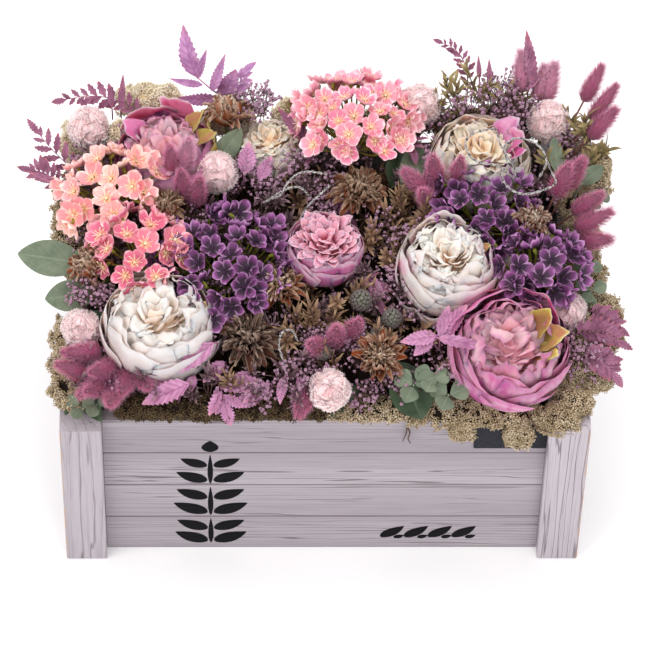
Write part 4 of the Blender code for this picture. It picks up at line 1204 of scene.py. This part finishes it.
def ferns():
    lilac = frond_finish("lilac_frond", (146, 96, 146), (208, 160, 202), (190, 122, 148))
    orchid = frond_finish("orchid_leaf", (134, 76, 112), (204, 148, 184), (220, 156, 176))
    mauve = frond_finish("mauve_frond", (106, 60, 86), (170, 114, 142), (186, 104, 112))
    for seed, (node, (entry, bend, tip, pairs, longest, width, teeth)) in enumerate(FRONDS.items()):
        stock, rng = Stock(), np.random.default_rng(120 + seed)
        entry = placed((*entry, MOSS_TOP))
        path = arch(entry, placed(bend), placed(tip), 14)
        frond(stock, rng, path, FERN_FACE, pairs, longest * MM, width * MM, 0.45, teeth, 0.34)
        stock.stalk(np.linspace(planted_foot(node), entry, 4), 1.2)
        stock.piece(f"{node}_frond", [orchid if node == "fern_front" else mauve], "fern", node)

    stock, rng = Stock(), np.random.default_rng(127)
    pleated_leaves(stock, rng, TALL_LEAVES, (0.0, -0.8, 0.7))
    stalk = curve(np.vstack([planted_foot("fern_tall"), placed(TALL_STALK)]), 24)
    stock.stalk(stalk, np.linspace(1.3, 0.5, 24))
    stock.piece("fern_tall_frond", [lilac], "fern", "fern_tall")
    for name, seed, rows, finish in (("lilac_leaves", 128, LILAC_LEAVES, orchid),
                                     ("mauve_leaves", 129, MAUVE_LEAVES, mauve)):
        stock, rng = Stock(), np.random.default_rng(seed)
        for base, tip in pleated_leaves(stock, rng, rows, (0.0, -0.5, 1.0)):
            reach = tip - base
            stock.stalk(arch(base - UP * 16 * MM, base - reach * 0.2, base + reach * 0.1, 6), 0.6, 5)
        stock.piece(name, [finish], "fern")

    for (tone, rows), finish, pleat in zip(LOOSE_FRONDS.items(), (lilac, mauve), (0.03, 0.0)):
        stock, rng = Stock(), np.random.default_rng(140 + len(rows))
        for foot, bend, tip, pairs, longest, width in rows:
            path = arch(placed(foot), placed(bend), placed(tip), 12)
            normal = unit(rng.normal(0, 0.3, 3) + [0, -0.6, 1])
            frond(stock, rng, path, normal, pairs, longest * MM, width * MM, 0.42, 5, pleat=pleat)
        stock.piece(f"loose_{tone}_fronds", [finish], "fern")


# ---------------------------------------------------------------- broad leaves

UPWARD = (0, -0.4, 1)
SAGE_PAIR = (  # mm: base, tip and width; then bluntness and the way it faces
    ((-180, -6, 232), (-234, 6, 228), 28, 0.8, (-0.1, -0.5, 1)),
    ((-172, -28, 226), (-212, -32, 224), 24, 0.8, (0, -0.5, 1)),
)
SAGE_BETWEEN = (
    ((-88, 74, 240), (-62, 104, 252), 18, 0.8, (0.4, -0.6, 1)),
    ((62, 56, 236), (74, 96, 246), 22, 0.75, (0.5, -0.5, 1)),
    ((180, 66, 244), (176, 94, 256), 12, 0.8, (0, -0.5, 1)),
    ((196, 60, 240), (214, 74, 246), 13, 0.8, (0, -0.5, 1)),
)
DARK_LEAVES = (
    ((-98, 62, 238), (-96, 86, 246), 20, 0.55, UPWARD),
    ((52, 62, 232), (62, 92, 244), 24, 0.75, (0.5, -0.4, 1)),
    ((56, -86, 220), (72, -130, 213), 34, 0.8, (0.1, -0.4, 1)),
    ((-156, -46, 216), (-198, -52, 214), 20, 0.8, UPWARD),
    ((26, -100, 212), (4, -126, 206), 12, 0.8, UPWARD),
    ((-190, -104, 208), (-194, -128, 196), 9, 0.7, (0, -1, 0.5)),
    ((-180, -112, 210), (-168, -128, 204), 13, 0.5, UPWARD),
)
EUCALYPTUS = {  # mm: foot and middle of each whorl, longest leaf and leaf width
    "eucalyptus_sprig": (
        ((64, -98, 222), (66, -112, 230), 17, 15), ((78, -100, 226), (80, -108, 232), 14, 14),
        ((92, -112, 220), (92, -118, 226), 15, 16),
    ),
    "eucalyptus_corner": (
        ((-184, -118, 208), (-184, -120, 212), 11, 10), ((-174, -114, 208), (-172, -118, 212), 11, 11),
    ),
    "eucalyptus_right": (
        ((196, -10, 224), (200, -12, 232), 11, 10), ((198, -24, 222), (202, -28, 228), 11, 11),
        ((190, -34, 220), (196, -38, 224), 10, 11), ((182, 66, 236), (186, 68, 242), 10, 10),
        ((206, 52, 226), (210, 52, 230), 9, 9),
    ),
}
WHORL = (0.4, 2.5, 4.4)  # the bearings of its three leaves
LEAF_DROP = UP * 12 * MM  # how far the stalk of a leaf goes down


def leaf_skin(name, roughness, specular, scale, tones, some, midrib, ribbed=False):
    """Two tones mottled together, a third in some leaves and a pale fourth along the midrib, on faint
    slantwise ribs or a fine grain."""
    made = Finish(name, roughness, specular)
    along, edge, chance = made.growth()
    low, high, other, pale = tones
    colour = made.ramp(made.noise(scale, 4), (0.25, low), (0.75, high))
    colour = made.mix(made.spread(chance, *some), colour, other)
    colour = made.mix(made.spread(edge, *midrib), colour, pale)
    if ribbed:
        relief = made.ribs(along, edge, 0.22, 60.0)
        colour = made.mix(made.spread(relief, 0.75, 1.0, 0, 0.10), colour, pale)
    else:
        relief = made.noise(400, 3)
    made.colour(colour)
    made.bump(relief, 0.15 if ribbed else 0.2, 0.3)
    return made.material


def rooted(stock, rows, drop, nodes):
    """Stalks from where the nodes stand in the foam up to the first row's base, bent straight below it."""
    entry = placed(rows[0][0])
    for node in nodes:
        stock.stalk(arch(planted_foot(node), entry - UP * drop * MM, entry, 6), 1.2)


def leaf_set(name, seed, rows, finish, *nodes):
    """Single leaves on short bent stalks."""
    stock, rng = Stock(), np.random.default_rng(seed)
    for base, tip, width, blunt, face in rows:
        base, tip = placed((base, tip))
        reach = tip - base
        leaves(stock, rng, base[None], reach[None], unit(np.array(face, float)), np.linalg.norm(reach),
               width * MM, fold=0.18, curl=0.10, blunt=blunt, columns=9, thickness=0.5)
        stock.stalk(arch(base - reach * 0.2 - LEAF_DROP, base - reach * 0.1, base + reach * 0.1, 6), 0.9)
    rooted(stock, rows, 10, nodes)
    stock.piece(name, [finish], "leaf", *nodes)


SAGE_TONES = ((84, 96, 78), (126, 137, 114), (92, 104, 86), (142, 156, 134))
DARK_TONES = ((38, 56, 40), (76, 96, 68), (66, 80, 62), (110, 126, 96))


def broad_leaves():
    sage = leaf_skin("sage_leaf_skin", 0.6, 0.3, 90, SAGE_TONES, (0.2, 1, 0, 0.6), (0.09, 0.02, 0, 0.35),
                     True)
    dark = leaf_skin("dark_leaf_skin", 0.5, 0.4, 110, DARK_TONES, (0.4, 1, 0, 0.5), (0.08, 0.02, 0, 0.5))
    leaf_set("sage_leaf_pair", 160, SAGE_PAIR, sage, "sage_leaf")
    leaf_set("sage_leaves_between", 161, SAGE_BETWEEN, sage)
    leaf_set("dark_leaves", 162, DARK_LEAVES, dark)
    for seed, (name, rows) in enumerate(EUCALYPTUS.items()):
        stock, rng = Stock(), np.random.default_rng(170 + seed)
        for foot, middle, longest, width in rows:
            foot, middle = placed((foot, middle))
            for turn in WHORL:
                out = np.array([math.cos(turn), math.sin(turn) * 0.8, 0.25])
                face = unit(np.array(UPWARD) - out * 0.2)
                length = longest * MM * rng.uniform(0.85, 1.1)
                leaves(stock, rng, middle[None] + out * 1.5 * MM, unit(out)[None], face, length, width * MM,
                       teeth=5, fold=0.15, curl=0.08, blunt=0.72, columns=9, thickness=0.5)
            stock.stalk(arch(foot - LEAF_DROP, foot, middle, 6), 0.8)
        nodes = ["eucalyptus"] if name == "eucalyptus_sprig" else []
        rooted(stock, rows, 12, nodes)
        stock.piece(name, [sage], "leaf", *nodes)


# ---------------------------------------------------------------- moss

LIMBS, TWIGS = 4, 3  # to a tuft, and to a limb
TUFT = 5.5 * MM  # height
LUMP = 3.4 * MM  # the way over which the sine of a lump turns by one radian


def tuft_shape(rng):
    """One tuft of lichen, about a unit across: limbs spread from its foot, and stubby twigs stand off them
    every way, like coral. Each is a three-sided stub, thin where it springs and blunt at its end. Points,
    faces, growth."""
    stubs = []
    for limb in range(LIMBS):
        turn = limb * TURN / LIMBS + rng.uniform(-0.3, 0.3)
        out = np.array([math.cos(turn) * 0.42, math.sin(turn) * 0.42, 0.5])
        stubs.append((np.zeros(3), out, 0.10))
        for _ in range(TWIGS):
            aim = unit(rng.normal(0, 1, 3) + [0, 0, 0.3])
            start = out * rng.uniform(0.5, 1.0)
            stubs.append((start, start + aim * rng.uniform(0.30, 0.50), rng.uniform(0.09, 0.13)))
    points, along = [], []
    for start, end, thick in stubs:
        points += [TRIANGLE * thick @ frames_from(end - start)[0].T + end, start[None]]
        along += [min(1, 0.45 + 0.8 * abs(end[2]))] * 3 + [0.6 * max(0, start[2])]
    faces = np.array([[1, 0, 3], [2, 1, 3], [0, 2, 3], [0, 1, 2]])
    faces = (faces[None] + 4 * np.arange(len(stubs))[:, None, None]).reshape(-1, 3)
    return np.vstack(points), faces, np.outer(along, [1, 0, 0])


def clump(stock, rng, shape, middle, size, count):
    """A cushion of tufts: a ball squashed to the size, in the second finish, mostly dark moss as painted
    shade inside the cushion, and tufts set by the golden angle over it, out along its normals. It is squared
    off in plan, so that a long clump keeps its width, and made lumpy by crossing sines."""
    middle, half = placed(middle), placed(size) / 2
    turn = golden(count)
    out = dome(count, 1.4)
    depth = 0.5 * (1 + out[:, 2])
    out[:, :2] *= (1 / np.maximum(np.abs(np.cos(turn)), np.abs(np.sin(turn))) ** 0.6)[:, None]
    out = out + rng.normal(0, 0.06, out.shape)
    lump = 1 + 0.16 * np.sin(out[:, :1] * half[0] / LUMP) * np.cos(out[:, 1:2] * half[1] / LUMP + 1)
    aim = unit(out / half * half.min() + rng.normal(0, 0.5, out.shape) + [0, 0, 0.15])
    stock.scatter(shape, frames_from(aim, rng.uniform(0, 6, count)),
                  middle + out * half * lump * 0.92 - aim * TUFT * 0.4, TUFT * rng.uniform(0.7, 1.25, count),
                  rng.random(count), depth)
    stock.ball(middle, half * 0.84, 0.0, 0.0, 1, 11, 20)


def moss_finish(name, low, middle, tip):
    """Lichen: low to middle to tip along each stub, with patches of the middle tone."""
    made = Finish(name, 0.9, 0.15)
    along, _, chance = made.growth()
    colour = made.ramp(along, (0.0, low), (0.5, middle), (1.0, tip))
    colour = made.mix(made.spread(made.noise(70, 3), 0.4, 0.65, 0, 0.55), colour, middle)
    made.colour(made.mix(made.spread(chance, 0, 1, 0, 0.3), colour, low))
    made.bump(made.noise(1800, 2), 0.2, 0.4)
    return made.material


CLUMPS = {  # mm: middle and size, then number of tufts; the first of each stands in its node's place
    "moss_front_left": (((-88, -115, 203), (116, 22, 12), 520), ((-140, -115, 203), (34, 20, 12), 160),
                        ((-20, -115, 203), (64, 20, 12), 280)),
    "moss_front_right": (((112, -119, 203), (104, 26, 18), 560), ((103, -130, 192), (18, 12, 28), 170),
                         ((146, -131, 186), (21, 12, 38), 230), ((36, -116, 203), (70, 22, 12), 300),
                         ((178, -123, 198), (34, 24, 24), 260), ((190, -112, 206), (24, 24, 16), 140),
                         ((180, -94, 203), (26, 26, 16), 150), ((190, -84, 208), (26, 30, 18), 190),
                         ((190, -62, 208), (24, 24, 18), 130)),
    "moss_back_left": (((-120, 128, 208), (72, 32, 18), 420), ((-134, 144, 228), (50, 26, 28), 440),
                       ((-188, 116, 214), (30, 34, 26), 320), ((-22, 144, 214), (30, 18, 18), 180),
                       ((-74, 130, 220), (44, 20, 28), 220), ((-152, 112, 228), (28, 20, 26), 150)),
    "moss_right": (((194, 86, 209), (30, 78, 20), 460), ((208, 82, 222), (26, 48, 24), 360),
                   ((198, 28, 210), (26, 44, 20), 300), ((208, -48, 212), (36, 54, 24), 460),
                   ((206, -88, 206), (24, 30, 18), 200), ((200, -6, 207), (30, 40, 20), 280)),
}
EDGE_CLUMPS = (((-192, -78, 209), (30, 84, 22), 500), ((-196, 44, 206), (24, 92, 16), 320),
               ((60, 138, 208), (120, 18, 14), 300), ((134, 134, 216), (86, 20, 28), 340))
BED_TUFTS = 350
BED_SINK = 3 * MM  # how far its surface and its tufts lie below its top


def moss():
    pale = moss_finish("beige_lichen", (98, 74, 50), (188, 166, 130), (246, 230, 204))
    # Painted light: a lighter copy of the lichen, for the clumps at the back left.
    light = moss_finish("lit_lichen", (206, 180, 138), (248, 234, 204), (255, 250, 236))
    # Painted shade: a darker copy of the lichen, for the clumps at the front left.
    shade = moss_finish("shaded_lichen", (30, 21, 17), (84, 66, 48), (146, 126, 96))
    # Painted shade: dark moss for the clumps' cores and the bed, where shade falls between tufts and flowers.
    moss_in_shade = moss_finish("shaded_moss", (30, 22, 18), (58, 44, 34), (86, 68, 50))
    rng = np.random.default_rng(200)
    shape = tuft_shape(rng)

    def cushions(name, rows, finishes, *nodes):
        stock = Stock()
        for row in rows:
            clump(stock, rng, shape, *row)
        stock.piece(name, finishes, "moss", *nodes)

    # Finishes of the four clump sets: the front left's lichen is in painted shade, the back left's in painted
    # light, and the cores are in painted shade except at the back left.
    coats = [shade, moss_in_shade], [pale, moss_in_shade], [light, light], [pale, moss_in_shade]
    for (node, rows), coat in zip(CLUMPS.items(), coats):
        cushions(f"{node}_lichen", rows, coat, node)
    cushions("edge_lichen", EDGE_CLUMPS, [pale, moss_in_shade])

    # The bed itself: a closed dark mat, its top heaved by crossing waves, with dark tufts over it; mat and
    # tufts are dark as painted shade between the flowers
    low, high = (np.array(corner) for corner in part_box("moss_bed"))
    v, u = np.meshgrid(np.linspace(low[1], high[1], 40), np.linspace(low[0], high[0], 60), indexing="ij")
    heave = np.sin(u * 210 + 1.3 * np.sin(v * 160)) * np.cos(v * 190) + 0.5 * np.sin(u * 420 + v * 330)
    mat = Stock()
    mat.sheets(np.stack([u, v, high[2] - BED_SINK + 3 * MM * heave], -1)[None], 5 * MM, 0.5)
    x, y = (rng.uniform(low[axis], high[axis], BED_TUFTS) for axis in (0, 1))
    spots = np.column_stack([x, y, np.full(BED_TUFTS, high[2] - BED_SINK)])
    aim = unit(rng.normal(0, 0.35, spots.shape) + UP)
    mat.scatter(shape, frames_from(aim, rng.uniform(0, 6, BED_TUFTS)), spots,
                rng.uniform(10, 18, BED_TUFTS) * MM, rng.random(BED_TUFTS))
    mat.piece("moss_bed_mat", [moss_in_shade], "moss", "moss_bed")


# ---------------------------------------------------------------- fine filling

def bell_shape():
    """A five-sided bud, a unit long: three rings carried up its axis, closed at both ends. Points, faces,
    growth."""
    corners = np.arange(5) * TURN / 5
    profile = enumerate(((0.0, 0.10), (0.45, 0.34), (1.0, 0.52)))  # height and radius
    rings = [circle(corners + 0.3 * n) * radius + UP * up for n, (up, radius) in profile]
    points = np.vstack([*rings, UP * 0.70])
    index = rings_of(3, 5)
    quads = quads_of(index)
    mouth = np.stack([index[-1, :-1], index[-1, 1:], np.full(5, 15)], -1)
    foot = [[2, 1, 0], [3, 2, 0], [4, 3, 0]]
    along = [*points[:-1, 2], 0.2]
    triangles = np.concatenate([quads[:, :3], quads[:, [0, 2, 3]], mouth, foot])
    return points, triangles, np.outer(along, [1, 0, 0])


BUD = 2.3 * MM  # length


def spray(stock, rng, middle, reach, stalks, buds):
    """Fine stalks that fan from below the middle to points of a ball, each ending in a few buds on short
    branches."""
    middle, reach = placed(middle), reach * MM
    away = unit(rng.normal(0, 1, (stalks, 3)) + [0, -0.2, 0.8])
    tips = middle + away * reach * rng.uniform(0.55, 1.0, (stalks, 1)) * [1, 1, 0.75]
    foot = middle - UP * 1.6 * reach + rng.normal(0, 0.12, (stalks, 3)) * reach * [1, 1, 0.2]
    paths = bowed(foot, tips, rng.normal(0, 0.12, (stalks, 3)) * reach, 5)
    stock.tubes(paths, 0.35 * MM, 3, rng.random(stalks), 0, 1)
    heads = np.repeat(tips, buds, 0) + rng.normal(0, 0.8, (stalks * buds, 3)) * BUD * 1.9
    outwards = heads - np.repeat(foot, buds, 0) * 0.5 - middle * 0.5
    aim = unit(outwards + rng.normal(0, 0.4, heads.shape) * reach)
    start = np.repeat(tips - away * reach * 0.15, buds, 0)
    stock.tubes(np.stack([start, (start + heads) / 2, heads + aim * 0.1 * BUD], 1), 0.25 * MM, 3, finish=1)
    count = len(heads)
    stock.scatter(bell_shape(), frames_from(aim, rng.uniform(0, 6, count)), heads,
                  BUD * rng.uniform(0.75, 1.3, count), rng.random(count))


SPRAYS = (  # mm: middle and reach of each spray of tiny buds
    ((-48, 122, 268), 17), ((-62, 128, 246), 16), ((-19, 71, 247), 17), ((-40, 66, 240), 15),
    ((-57, 74, 238), 14), ((4, 60, 238), 15), ((136, 135, 256), 17), ((112, 128, 246), 17),
    ((150, 118, 250), 15), ((191, -84, 220), 18), ((178, -70, 220), 14), ((206, -78, 214), 14),
    ((-180, -34, 236), 14), ((-164, -36, 228), 12), ((59, 8, 236), 18), ((76, 10, 238), 14),
    ((-56, -32, 240), 16), ((-36, -18, 232), 14), ((-27, -100, 228), 18), ((-50, -112, 222), 14),
    ((50, -103, 222), 14), ((30, -112, 216), 12), ((4, 36, 232), 14), ((40, 30, 236), 16),
    ((-100, 30, 232), 14), ((64, -50, 228), 15), ((-8, -64, 226), 16), ((-104, 100, 236), 14),
    ((-150, 100, 230), 14), ((150, 60, 238), 14), ((186, 104, 232), 14), ((110, 8, 236), 12),
    ((-12, -100, 222), 14), ((-104, -20, 222), 16), ((146, 136, 243), 16), ((130, 140, 240), 15),
    ((158, 132, 240), 14), ((84, 126, 232), 13), ((162, 120, 234), 13), ((52, -28, 238), 15),
    ((22, -78, 226), 15), ((86, 84, 238), 12), ((192, 8, 226), 12), ((-180, 86, 228), 14),
)
TAN_SPRIGS = (  # mm: middle and reach of each sprig
    ((-10, -61, 238), 18), ((6, -52, 238), 16), ((57, 34, 244), 17), ((51, -6, 240), 18),
    ((38, 12, 238), 14), ((79, 28, 244), 15), ((41, -75, 234), 15), ((79, -76, 230), 14),
    ((-72, -108, 222), 12), ((23, -34, 238), 14), ((70, 48, 242), 14), ((-24, -76, 232), 14),
    ((96, -92, 222), 12),
)
OLIVE_SPRIGS = (
    ((101, 137, 250), 19), ((118, 140, 256), 17), ((147, 128, 248), 17), ((206, 112, 242), 20),
    ((190, 120, 240), 17), ((90, 128, 240), 16), ((174, 84, 240), 16), ((204, 84, 230), 14),
    ((214, 96, 226), 15), ((-20, 130, 232), 14),
)
DUSKY_SPRIGS = (
    ((57, -34, 238), 16), ((38, -43, 236), 15), ((76, 10, 240), 15), ((12, 46, 238), 15),
    ((-11, 60, 240), 14), ((-38, 46, 236), 14), ((87, -49, 232), 14), ((30, -17, 238), 16),
    ((-57, -113, 220), 12), ((-19, -118, 218), 13), ((14, 20, 236), 14), ((62, -14, 236), 15),
    ((-40, -60, 228), 14), ((96, 56, 232), 14), ((60, 60, 232), 14), ((-104, -96, 214), 12),
    ((-100, 96, 232), 14),
)


def sprigs(stock, rng, rows, leaf, width, each):
    """Sprigs of narrow pointed leaves: three stems bow up through the spot, and leaves stand round each by
    the golden angle. Leaf and width are in mm."""
    share = np.linspace(0.30, 1.0, each)
    ring = circle(golden(each) * 1.02)
    for middle, reach in rows:
        middle, reach = placed(middle), reach * MM
        for _ in range(3):
            lean = unit(rng.normal(0, 0.55, 3) + [0, -0.1, 1])
            top = middle + lean * reach * rng.uniform(0.5, 0.9)
            foot = middle - UP * 1.3 * reach + rng.normal(0, 0.1, 3) * reach
            path = arch(foot, middle - UP * 0.3 * reach + rng.normal(0, 0.3, 3) * reach, top, 10)
            stock.stalk(path, 0.5, 4, 1)
            base, i = points_along(path, share * 9)
            along = unit(path[i + 1] - path[i])
            out = np.einsum("nij,nj->ni", frames_from(along), ring)
            heading = out * (1.15 - 0.6 * share[:, None]) + along * 0.75
            heading = unit(heading + rng.normal(0, 0.15, out.shape))
            leaves(stock, rng, base, heading, unit(along + 0.02), leaf * MM * rng.uniform(0.7, 1.15, each),
                   width * MM, teeth=2, fold=0.5, curl=-0.10, blunt=0.8, columns=3, thickness=0.4)


GAP_STEP = 18.0  # mm from one spot of the lattice to the next


def close_gaps(rng, tan, dusky, bud, twig):
    """Low sprigs and buds wherever the bed would show: a jittered lattice, less the places under a large
    head."""
    heads = [planted(node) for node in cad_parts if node.startswith(("peony", "pompon", "seed_head"))]
    middles, radii = np.array([head[0][:2] for head in heads]), np.array([head[2] for head in heads])
    x, y = np.meshgrid(np.arange(-178, 180, GAP_STEP), np.arange(-106, 118, GAP_STEP))
    spots = np.column_stack([x.ravel(), y.ravel()]) + rng.uniform(-6, 6, (x.size, 2))
    away = np.linalg.norm(spots[:, None] * MM - middles[None], axis=2) / radii
    spots = spots[(away > 0.80).all(1)]
    kind = rng.random(len(spots))
    between = (spots[:, 0] > -45) & (spots[:, 0] < 118)  # the tan sprigs stay near the middle
    kind = np.where(between, kind, 0.24 + 0.76 * kind)
    rows = [((*spot, height), 14) for spot, height in zip(spots, rng.uniform(219, 231, len(spots)))]
    for name, low, top, leaf, width, finish in (("tan_gap_sprigs", 0, 0.3, 11, 2.4, tan),
                                                ("dusky_gap_sprigs", 0.3, 0.66, 10, 2.2, dusky)):
        stock = Stock()
        sprigs(stock, rng, [row for row, k in zip(rows, kind) if low <= k < top], leaf, width, 9)
        stock.piece(name, [finish, twig], "dried_sprigs")
    stock = Stock()
    for (middle, _), k in zip(rows, kind):
        if k >= 0.66:
            spray(stock, rng, middle, 13, 7, 4)
    stock.piece("statice_in_gaps", [bud, twig], "dried_sprigs")


THISTLES = (  # mm: middle and radius
    ((27, -48, 248), 7.5), ((50, -61, 243), 7), ((40, -72, 238), 6), ((-2, -86, 236), 6),
)


def thistle_buds():
    """Round green buds: a ball, and pointed bells set over it by the golden angle, standing out along its
    normals."""
    skin = tinted("thistle_green", (54, 64, 50), (124, 136, 104), 300, tip=(128, 112, 118))
    stock, rng = Stock(), np.random.default_rng(330)
    out = dome(70, 1.7)
    for middle, radius in THISTLES:
        middle, radius = placed(middle), radius * MM
        stock.ball(middle, 0.8 * radius, 0.0, 0.0)
        stock.scatter(bell_shape(), frames_from(out, rng.uniform(0, 6, len(out))),
                      middle + out * radius * 0.7, radius * 0.42, rng.random(len(out)))
        stock.stalk(np.linspace(middle - UP * 34 * MM, middle, 4), 1.0)
    stock.piece("thistle_buds", [skin], "dried_sprigs")


ROOTLETS = (  # mm: brown rootlets that hang from the moss, in front of the crate
    ((66, -108, 208), (64, -122, 206), (62, -127, 196), (61, -127.5, 184), (59, -127.5, 173)),
    ((62, -127, 194), (64, -127.5, 186), (63, -127.5, 177), (65, -127.5, 170)),
    ((151, -125, 216), (154, -131, 214), (157, -134, 209), (163, -136, 205), (170, -137, 202)),
    ((147, -128, 176), (148, -129, 168), (147, -128, 162)),
)


def rootlets():
    stock = Stock()
    for points in ROOTLETS:
        stock.stalk(curve(placed(points), 24), np.linspace(0.75, 0.4, 24))
    stock.piece("brown_rootlets", [tinted("rootlet_bark", (52, 36, 28), (98, 72, 54), 400)], "moss")


STRANDS = (  # mm: points that the silver twigs pass
    ((146, 49, 262), (133, 54, 275), (120, 56, 277), (111, 61, 278), (107, 73, 279), (114, 81, 280),
     (129, 83, 282), (133, 72, 280), (137, 64, 277), (140, 57, 270)),
    ((146, 50, 262), (143, 58, 272), (137, 66, 276), (138, 72, 279), (146, 76, 281), (159, 72, 281),
     (166, 65, 279), (168, 56, 276), (162, 47, 268)),
    ((146, 50, 264), (135, 54, 270), (135, 45, 271), (141, 36, 271), (151, 32, 271), (164, 35, 271),
     (175, 42, 271), (171, 53, 274), (166, 68, 277)),
    ((2, 57, 260), (-15, 57, 263), (-26, 50, 263), (-34, 38, 260), (-43, 37, 254)),
    ((4, 48, 258), (-4, 38, 260), (-13, 30, 256), (-19, 24, 246)),
    ((-46, 36, 252), (-30, 42, 261), (-19, 43, 263), (-10, 38, 256)),
    ((-30, -98, 232), (-35, -86, 246), (-32, -77, 250), (-25, -76, 250), (-21, -81, 244)),
)
STRAND = 0.55  # mm: radius of a strand, and how far it winds from the path


def silver_twigs():
    """Each twig is two thin strands wound about one path."""
    bark = mottled("silver_twig_bark", 0.5, (70, 62, 60), (192, 188, 186), (600, 2), (0.36, 0.58),
                   ((900, 2), 0.4, 0.6), 0.6, Metallic=0.25)
    stock = Stock()
    t = np.linspace(0, 1, 60)
    for points in STRANDS:
        path = curve(placed(points), len(t))
        across, face, _ = spine_frames(path, UP + 0.01)
        for turn in (0, math.pi):
            wind = (t * 46 + turn)[:, None]
            coil = path + STRAND * MM * (across * np.cos(wind) + face * np.sin(wind))
            stock.stalk(coil, STRAND * (1 - 0.4 * t ** 4), 5)
    stock.piece("silver_twigs", [bark], "silver_twig")


def fillers():
    bud = tinted("statice_buds", (96, 56, 84), (156, 112, 140), 160, tip=(200, 160, 182))
    twig = tinted("brown_stalks", (64, 42, 44), (112, 84, 80))
    tan = tinted("tan_leaves", (102, 74, 60), (152, 120, 94), 90, 0.75, (178, 148, 116))
    dusky = tinted("dusky_leaves", (72, 50, 62), (126, 98, 108), 90, 0.75, (160, 134, 134))
    olive = tinted("olive_leaves", (96, 90, 58), (160, 148, 98), 90, 0.7, (176, 150, 112))
    rng = np.random.default_rng(300)
    half = len(SPRAYS) // 2
    for name, rows in (("statice_back", SPRAYS[:half]), ("statice_front", SPRAYS[half:])):
        stock = Stock()
        for middle, reach in rows:
            spray(stock, rng, middle, reach, 17, 5)
        stock.piece(name, [bud, twig], "dried_sprigs")
    for name, finish, rows, leaf, width, each in (("tan", tan, TAN_SPRIGS, 12, 2.4, 18),
                                                  ("olive", olive, OLIVE_SPRIGS, 14, 3.0, 10),
                                                  ("dusky", dusky, DUSKY_SPRIGS, 11, 2.0, 18)):
        stock = Stock()
        sprigs(stock, rng, rows, leaf, width, each)
        stock.piece(f"{name}_sprigs", [finish, twig], "dried_sprigs")
    close_gaps(rng, tan, dusky, bud, twig)
    silver_twigs()


studio()
crate()
stencils()
green = mottled("green_stem", 0.6, (58, 66, 34), (104, 108, 58), (300, 3))
peonies(green)
small_flowers()
pompons(green)
seed_heads(green)
hare_tails()
ferns()
broad_leaves()
moss()
rootlets()
fillers()
thistle_buds()
